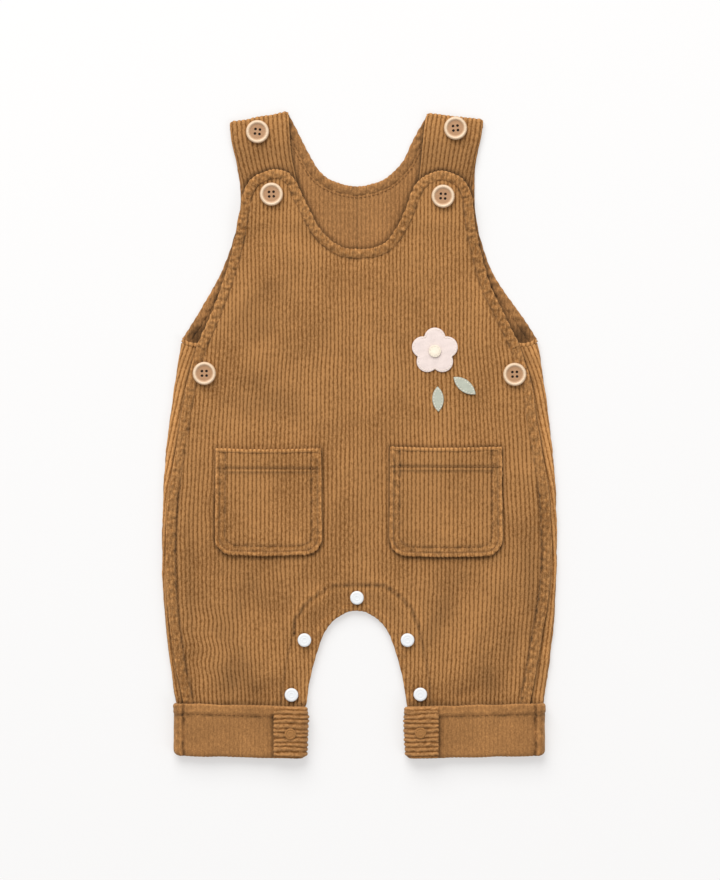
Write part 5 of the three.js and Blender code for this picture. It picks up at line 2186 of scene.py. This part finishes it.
@dataclass
class Applique:
    """A felt shape sewn on the bib, with small stitches inside its edge."""

    node: str
    x: float
    y: float
    low: float
    high: float
    outline: Callable[[Array], Array]
    slot: Slot
    edge_in: float = 1.3

    def build(self, finish: Finishes) -> bpy.types.Object:
        """Makes the shape.

        Args:
            finish: The materials.

        Returns:
            The shape.
        """
        steps = 180
        share = np.concatenate(
            [[0.01], np.linspace(0.08, 0.9, 12), [0.94, 0.975, 0.995, 1.0, 1.0, 0.99, 0.02]]
        )
        rise = np.concatenate([np.full(13, 1.0), [0.97, 0.85, 0.65, 0.45, 0.2, 0.0, 0.0]])

        def section(along: Array, round_it: Array) -> tuple[Array, Array]:
            """Points of the felt.

            Args:
                along: Place along the shape.
                round_it: Place round the shape.

            Returns:
                Points, and the cloth coordinate of each.
            """
            turn = 2 * np.pi * (round_it + 0.5) / steps
            radius = self.outline(turn) * share[along]
            x, y = self.x + radius * np.cos(turn), self.y + radius * np.sin(turn)
            soft = 0.12 * waves(x, y, 7, 91) * rise[along]
            dent = 0.3 * np.exp(
                -((((1 - share[along]) * self.outline(turn) - self.edge_in) / 0.45) ** 2)
            ) * rise[along]
            z = self.low + (self.high - self.low) * rise[along] + soft - dent
            return np.stack([x, y, z], axis=-1), np.stack([x, y], axis=-1)

        body = sweep(np.zeros((len(share), 2)), section, steps)
        material = {Slot.PINK: finish.pink, Slot.CREAM: finish.cream, Slot.GREEN: finish.green}[self.slot]
        shape = ride(make_object(f"{self.node}_felt", body, material), self.slot)
        turn = np.linspace(0, 2 * np.pi, 181)
        radius = np.maximum(self.outline(turn) - self.edge_in, 0.3)
        line = np.stack([self.x + radius * np.cos(turn), self.y + radius * np.sin(turn)], axis=1)
        sewn = threads(line, lambda x, y: np.full(np.shape(x), self.high - 0.05), 1.5, 0.75, 0.2)
        ride(make_object(f"{self.node}_stitches", sewn, finish.cream_thread), self.slot)
        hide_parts(self.node)
        return shape


def petals(turn: Array) -> Array:
    """Radius of a blossom's edge: the far side of five round petals set round its middle.

    Args:
        turn: Angles round the middle, in radians.

    Returns:
        Radius at each angle.
    """
    out, radius, count = 9.6, 8.0, 5
    off = (turn - np.pi / 2 + np.pi / count) % (2 * np.pi / count) - np.pi / count
    return out * np.cos(off) + np.sqrt(np.maximum(radius**2 - (out * np.sin(off)) ** 2, 0.5))


def leaf(length: float, width: float, heading: float) -> Callable[[Array], Array]:
    """Radius of a pointed leaf's edge about its own middle, for its length, width and heading."""

    def radius(turn: Array) -> Array:
        """Radius at an angle: where the ray meets two arcs that meet at the leaf's ends.

        Args:
            turn: Angles round the middle, in radians.

        Returns:
            Radius at each angle, in millimetres.
        """
        c, s = np.abs(np.cos(turn - heading)), np.abs(np.sin(turn - heading))
        bend = (length**2 / 4 - width**2 / 4) / width
        round_by = bend + width / 2
        return -bend * s + np.sqrt(np.maximum((bend * s) ** 2 + round_by**2 - bend**2, 0.01))

    return radius


# Studio


class Studio:
    """The pale floor, the soft light from above the neck, and the camera straight over the garment."""

    picture = (720, 880)
    pixel = 0.75  # millimetres of the table for each pixel
    centre = (0.375, -3.675)  # x and y of the table under the middle of the picture
    height = 3.0
    level = 6.0  # height over the table at which the picture has that scale

    def floor(self) -> bpy.types.Object:
        """A wide white floor, just under the garment.

        Returns:
            The floor.
        """
        size, low = 3.0, -0.0002
        corners = np.array(
            [[-size, -size, low], [size, -size, low], [size, size, low], [-size, size, low]]
        ) / MM
        material, _, shader = new_material("studio_floor")
        shader.inputs["Base Color"].default_value = (0.374, 0.38, 0.386, 1.0)
        shader.inputs["Emission Color"].default_value = (0.488, 0.475, 0.467, 1.0)
        shader.inputs["Emission Strength"].default_value = 1.0
        shader.inputs["Roughness"].default_value = 1.0
        shader.inputs["Specular IOR Level"].default_value = 0.0
        made = make_object(
            "studio_floor", Surface(corners, np.array([[0, 1, 2, 3]]), corners[:, :2]), material, False
        )
        return made

    def light(self, name: str, place: tuple[float, float, float], size: tuple[float, float], power: float,
              colour: tuple[float, float, float] = (1.0, 1.0, 1.0)) -> None:
        """An area light that points at the garment.

        Args:
            name: Its name.
            place: Where it is, in metres.
            size: Its width and height, in metres.
            power: Its power, in watts.
            colour: Its colour.
        """
        lamp = bpy.data.lights.new(name, "AREA")
        lamp.shape = "RECTANGLE"
        lamp.size, lamp.size_y = size
        lamp.energy = power
        lamp.color = colour
        made = bpy.data.objects.new(name, lamp)
        made.location = place
        aim = np.array([0.0, -0.02, 0.0]) - np.array(place)
        made.rotation_euler = aim_rotation(aim)
        bpy.context.scene.collection.objects.link(made)

    def build(self) -> None:
        """Sets up floor, lights, world and camera."""
        self.floor()
        self.light("key_light", (-1.0, 3.6, 3.2), (4.2, 3.8), 300.0, (1.0, 0.985, 0.965))
        self.light("fill_light", (2.8, -2.2, 3.0), (2.0, 2.0), 30.0)
        world = bpy.data.worlds.new("studio_world")
        world.use_nodes = True
        back = world.node_tree.nodes["Background"]
        back.inputs[0].default_value = (1.0, 1.0, 1.0, 1.0)
        back.inputs[1].default_value = 0.55
        scene = bpy.context.scene
        scene.world = world
        scene.view_settings.view_transform = "Standard"
        scene.view_settings.look = "None"
        camera = bpy.data.cameras.new("camera")
        camera.sensor_fit = "HORIZONTAL"
        camera.sensor_width = 36.0
        camera.lens = 36.0 * self.height / (self.picture[0] * self.pixel * MM)
        camera.dof.use_dof = False
        view = bpy.data.objects.new("camera", camera)
        view.location = (self.centre[0] * MM, self.centre[1] * MM, self.height + self.level * MM)
        bpy.context.scene.collection.objects.link(view)
        scene.camera = view


def aim_rotation(aim: Array) -> tuple[float, float, float]:
    """Turns for a lamp or camera so that it looks along a direction."""
    turn = Vector(tuple(float(value) for value in aim)).to_track_quat("-Z", "Y").to_euler()
    return tuple(turn)


def paint(
    name: str, colour: tuple[float, float, float], rough: float, gloss: float, grain: float
) -> bpy.types.Material:
    """A plain finish whose colour wavers a little.

    Args:
        name: Name of the material.
        colour: Its colour, linear.
        rough: Its roughness.
        gloss: Its specular level.
        grain: How much its colour wavers.

    Returns:
        The material.
    """
    material, nodes, shader = new_material(name)
    place = nodes.add("ShaderNodeTexCoord")
    noise = nodes.noise(place.outputs["Object"], (1500.0, 1500.0, 1500.0), 3.0)
    dark = tuple(value * (1 - grain) for value in colour)
    light = tuple(min(1.0, value * (1 + grain)) for value in colour)
    nodes.link(nodes.ramp(noise, ((0.25, dark), (0.75, light))), shader.inputs["Base Color"])
    shader.inputs["Roughness"].default_value = rough
    shader.inputs["Specular IOR Level"].default_value = gloss
    if grain > 0.03:
        bump = nodes.add("ShaderNodeBump", in_Strength=0.3, in_Distance=0.0004)
        nodes.link(noise, bump.inputs["Height"])
        nodes.link(bump.outputs[0], shader.inputs["Normal"])
    return material


def wood() -> bpy.types.Material:
    """Pale turned wood: cream rim, painted highlight on its top, tan dish, faint rings, painted shade in the
    holes.

    Returns:
        The material.
    """
    material, nodes, shader = new_material("turned_wood")
    uv = nodes.add("ShaderNodeUVMap", uv_map="cloth")
    place = nodes.add("ShaderNodeTexCoord")
    split = nodes.add("ShaderNodeSeparateXYZ")
    nodes.link(uv.outputs[0], split.inputs[0])
    radius = nodes.math("MULTIPLY", split.outputs[0], 0.1)
    dish, rim = (0.42, 0.238, 0.124), (0.78, 0.62, 0.45)
    # The ramp is lightest on the rim's top, a painted highlight, and darker down both its sides.
    colour = nodes.ramp(radius, (
        (0.0, dish), (0.55, dish), (0.63, (0.62, 0.43, 0.28)), (0.72, rim), (0.87, (0.6, 0.42, 0.27))
    ))
    grain = nodes.noise(place.outputs["Object"], (240.0, 1500.0, 240.0), 3.0)
    shade = nodes.ramp(grain, ((0.3, (0.86, 0.82, 0.78)), (0.7, (1.0, 1.0, 1.0))))
    colour = nodes.mix(1.0, colour, shade, "MULTIPLY")
    # The holes are painted nearly black, as painted shade.
    hole = nodes.math("MULTIPLY", split.outputs[1], 0.9, clamp=True)
    nodes.link(nodes.mix(hole, colour, (0.035, 0.016, 0.008)), shader.inputs["Base Color"])
    shader.inputs["Roughness"].default_value = 0.42
    shader.inputs["Specular IOR Level"].default_value = 0.45
    return material


def make_finishes() -> Finishes:
    """Every material of the garment."""
    pile = pile_group()
    return Finishes(
        corduroy=Corduroy("corduroy").build(pile),
        inside=Corduroy(
            "corduroy_inside", crest=(0.335, 0.16, 0.055), valley=(0.175, 0.077, 0.024), contrast=0.6
        ).build(pile),
        plain=Corduroy("plain_wrong_side", crest=(0.354, 0.168, 0.056), valley=(0.16,
            0.07, 0.022), contrast=0.2, grain=1.0, fuzz=1.2, bump=0.35).build(pile),
        facing=Corduroy("corduroy_facing", crest=(0.35, 0.17, 0.06)).build(pile),
        thread=paint("tone_thread", (0.2, 0.09, 0.029), 0.75, 0.2, 0.15),
        wood=wood(),
        white=paint("white_snap", (0.70, 0.72, 0.74), 0.4, 0.4, 0.03),
        socket=paint("brown_socket", (0.31, 0.148, 0.05), 0.85, 0.1, 0.3),
        pink=paint("pink_felt", (0.70, 0.60, 0.565), 0.95, 0.1, 0.08),
        cream=paint("cream_felt", (0.78, 0.70, 0.58), 0.95, 0.1, 0.08),
        green=paint("sage_felt", (0.42, 0.44, 0.37), 0.95, 0.1, 0.1),
        cream_thread=paint("cream_thread", (0.86, 0.78, 0.68), 0.7, 0.2, 0.05),
    )


def main() -> None:
    """Builds the garment and the studio, piece by piece."""
    logging.basicConfig(level=logging.INFO, format="%(message)s")
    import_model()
    finish = make_finishes()
    cut = Cut()
    lay = Lay(cut)
    left_cuff = TurnedCuff("turned_cuff_left", -1, -139.4, -40.3)
    right_cuff = TurnedCuff("turned_cuff_right", 1, 139.2, 35.1)
    foot = lambda node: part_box(node)[0][2] / MM
    pockets = (
        Pocket("patch_pocket_left", "pocket_left", lay, -108.4, -28.3, -89.8, -10.0),
        Pocket("patch_pocket_right", "pocket_right", lay, 22.5, 107.0, -90.7, -8.8),
    )
    pieces = [
        BackPanel(cut, lay),
        FrontPanel(cut, lay, pockets),
        *pockets,
        left_cuff,
        right_cuff,
        CuffFacing("inseam_facing_left", left_cuff, 24.0),
        CuffFacing("inseam_facing_right", right_cuff, 24.8),
    ]
    for node, x, y, turn in (
        ("button_strap_left", -76.5, 227.6, -0.12), ("button_strap_right", 72.0, 230.2, 0.1),
        ("button_bib_left", -66.0, 180.5, 0.05), ("button_bib_right", 62.6, 179.0, -0.06),
        ("button_side_left", -116.3, 46.2, 0.02), ("button_side_right", 116.3, 45.5, 0.04),
    ):
        pieces.append(Button(node, x, y, foot(node), turn))
    for node, x, y in (
        ("snap_crotch", -1.9, -122.0), (
            "snap_leg_left_upper", -41.3, -153.7
        ), ("snap_leg_right_upper", 36.0, -153.7),
        ("snap_leg_left_lower", -51.0, -194.8), ("snap_leg_right_lower", 45.6, -194.4),
    ):
        pieces.append(Snap(node, x, y, foot(node)))
    for node, x, y in (("snap_cuff_left", -51.8, -223.8), ("snap_cuff_right", 45.6, -223.0)):
        pieces.append(Snap(node, x, y, foot(node), 4.4, 1.0, 0.4, Slot.BROWN))
    blossom = (56.5, 63.0)
    for node, length, width, x, y, heading in (
        ("patch_leaf_1", 21.0, 9.0, 70.5, 43.5, -38.0), ("patch_leaf_2", 19.0, 8.5, 58.5, 36.5, -88.0),
    ):
        low, high = (corner[2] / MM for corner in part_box(node))
        way = np.radians(heading)
        middle = (x + length / 2 * np.cos(way), y + length / 2 * np.sin(way))
        pieces.append(Applique(node, *middle, low, high, leaf(length, width, way), Slot.GREEN, 1.1))
    low, high = (corner[2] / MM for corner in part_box("patch_flower"))
    pieces.append(Applique("patch_flower", *blossom, low, high, petals, Slot.PINK))
    low, high = (corner[2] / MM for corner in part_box("patch_centre"))
    pieces.append(Applique("patch_centre", *blossom, low, high, lambda turn: 4.6 + 0 * turn, Slot.CREAM, 0.9))
    for piece in pieces:
        made = piece.build(finish)
        log.info("built %s with %d faces", made.name, len(made.data.polygons))
    Studio().build()


if __name__ == "__main__":
    main()
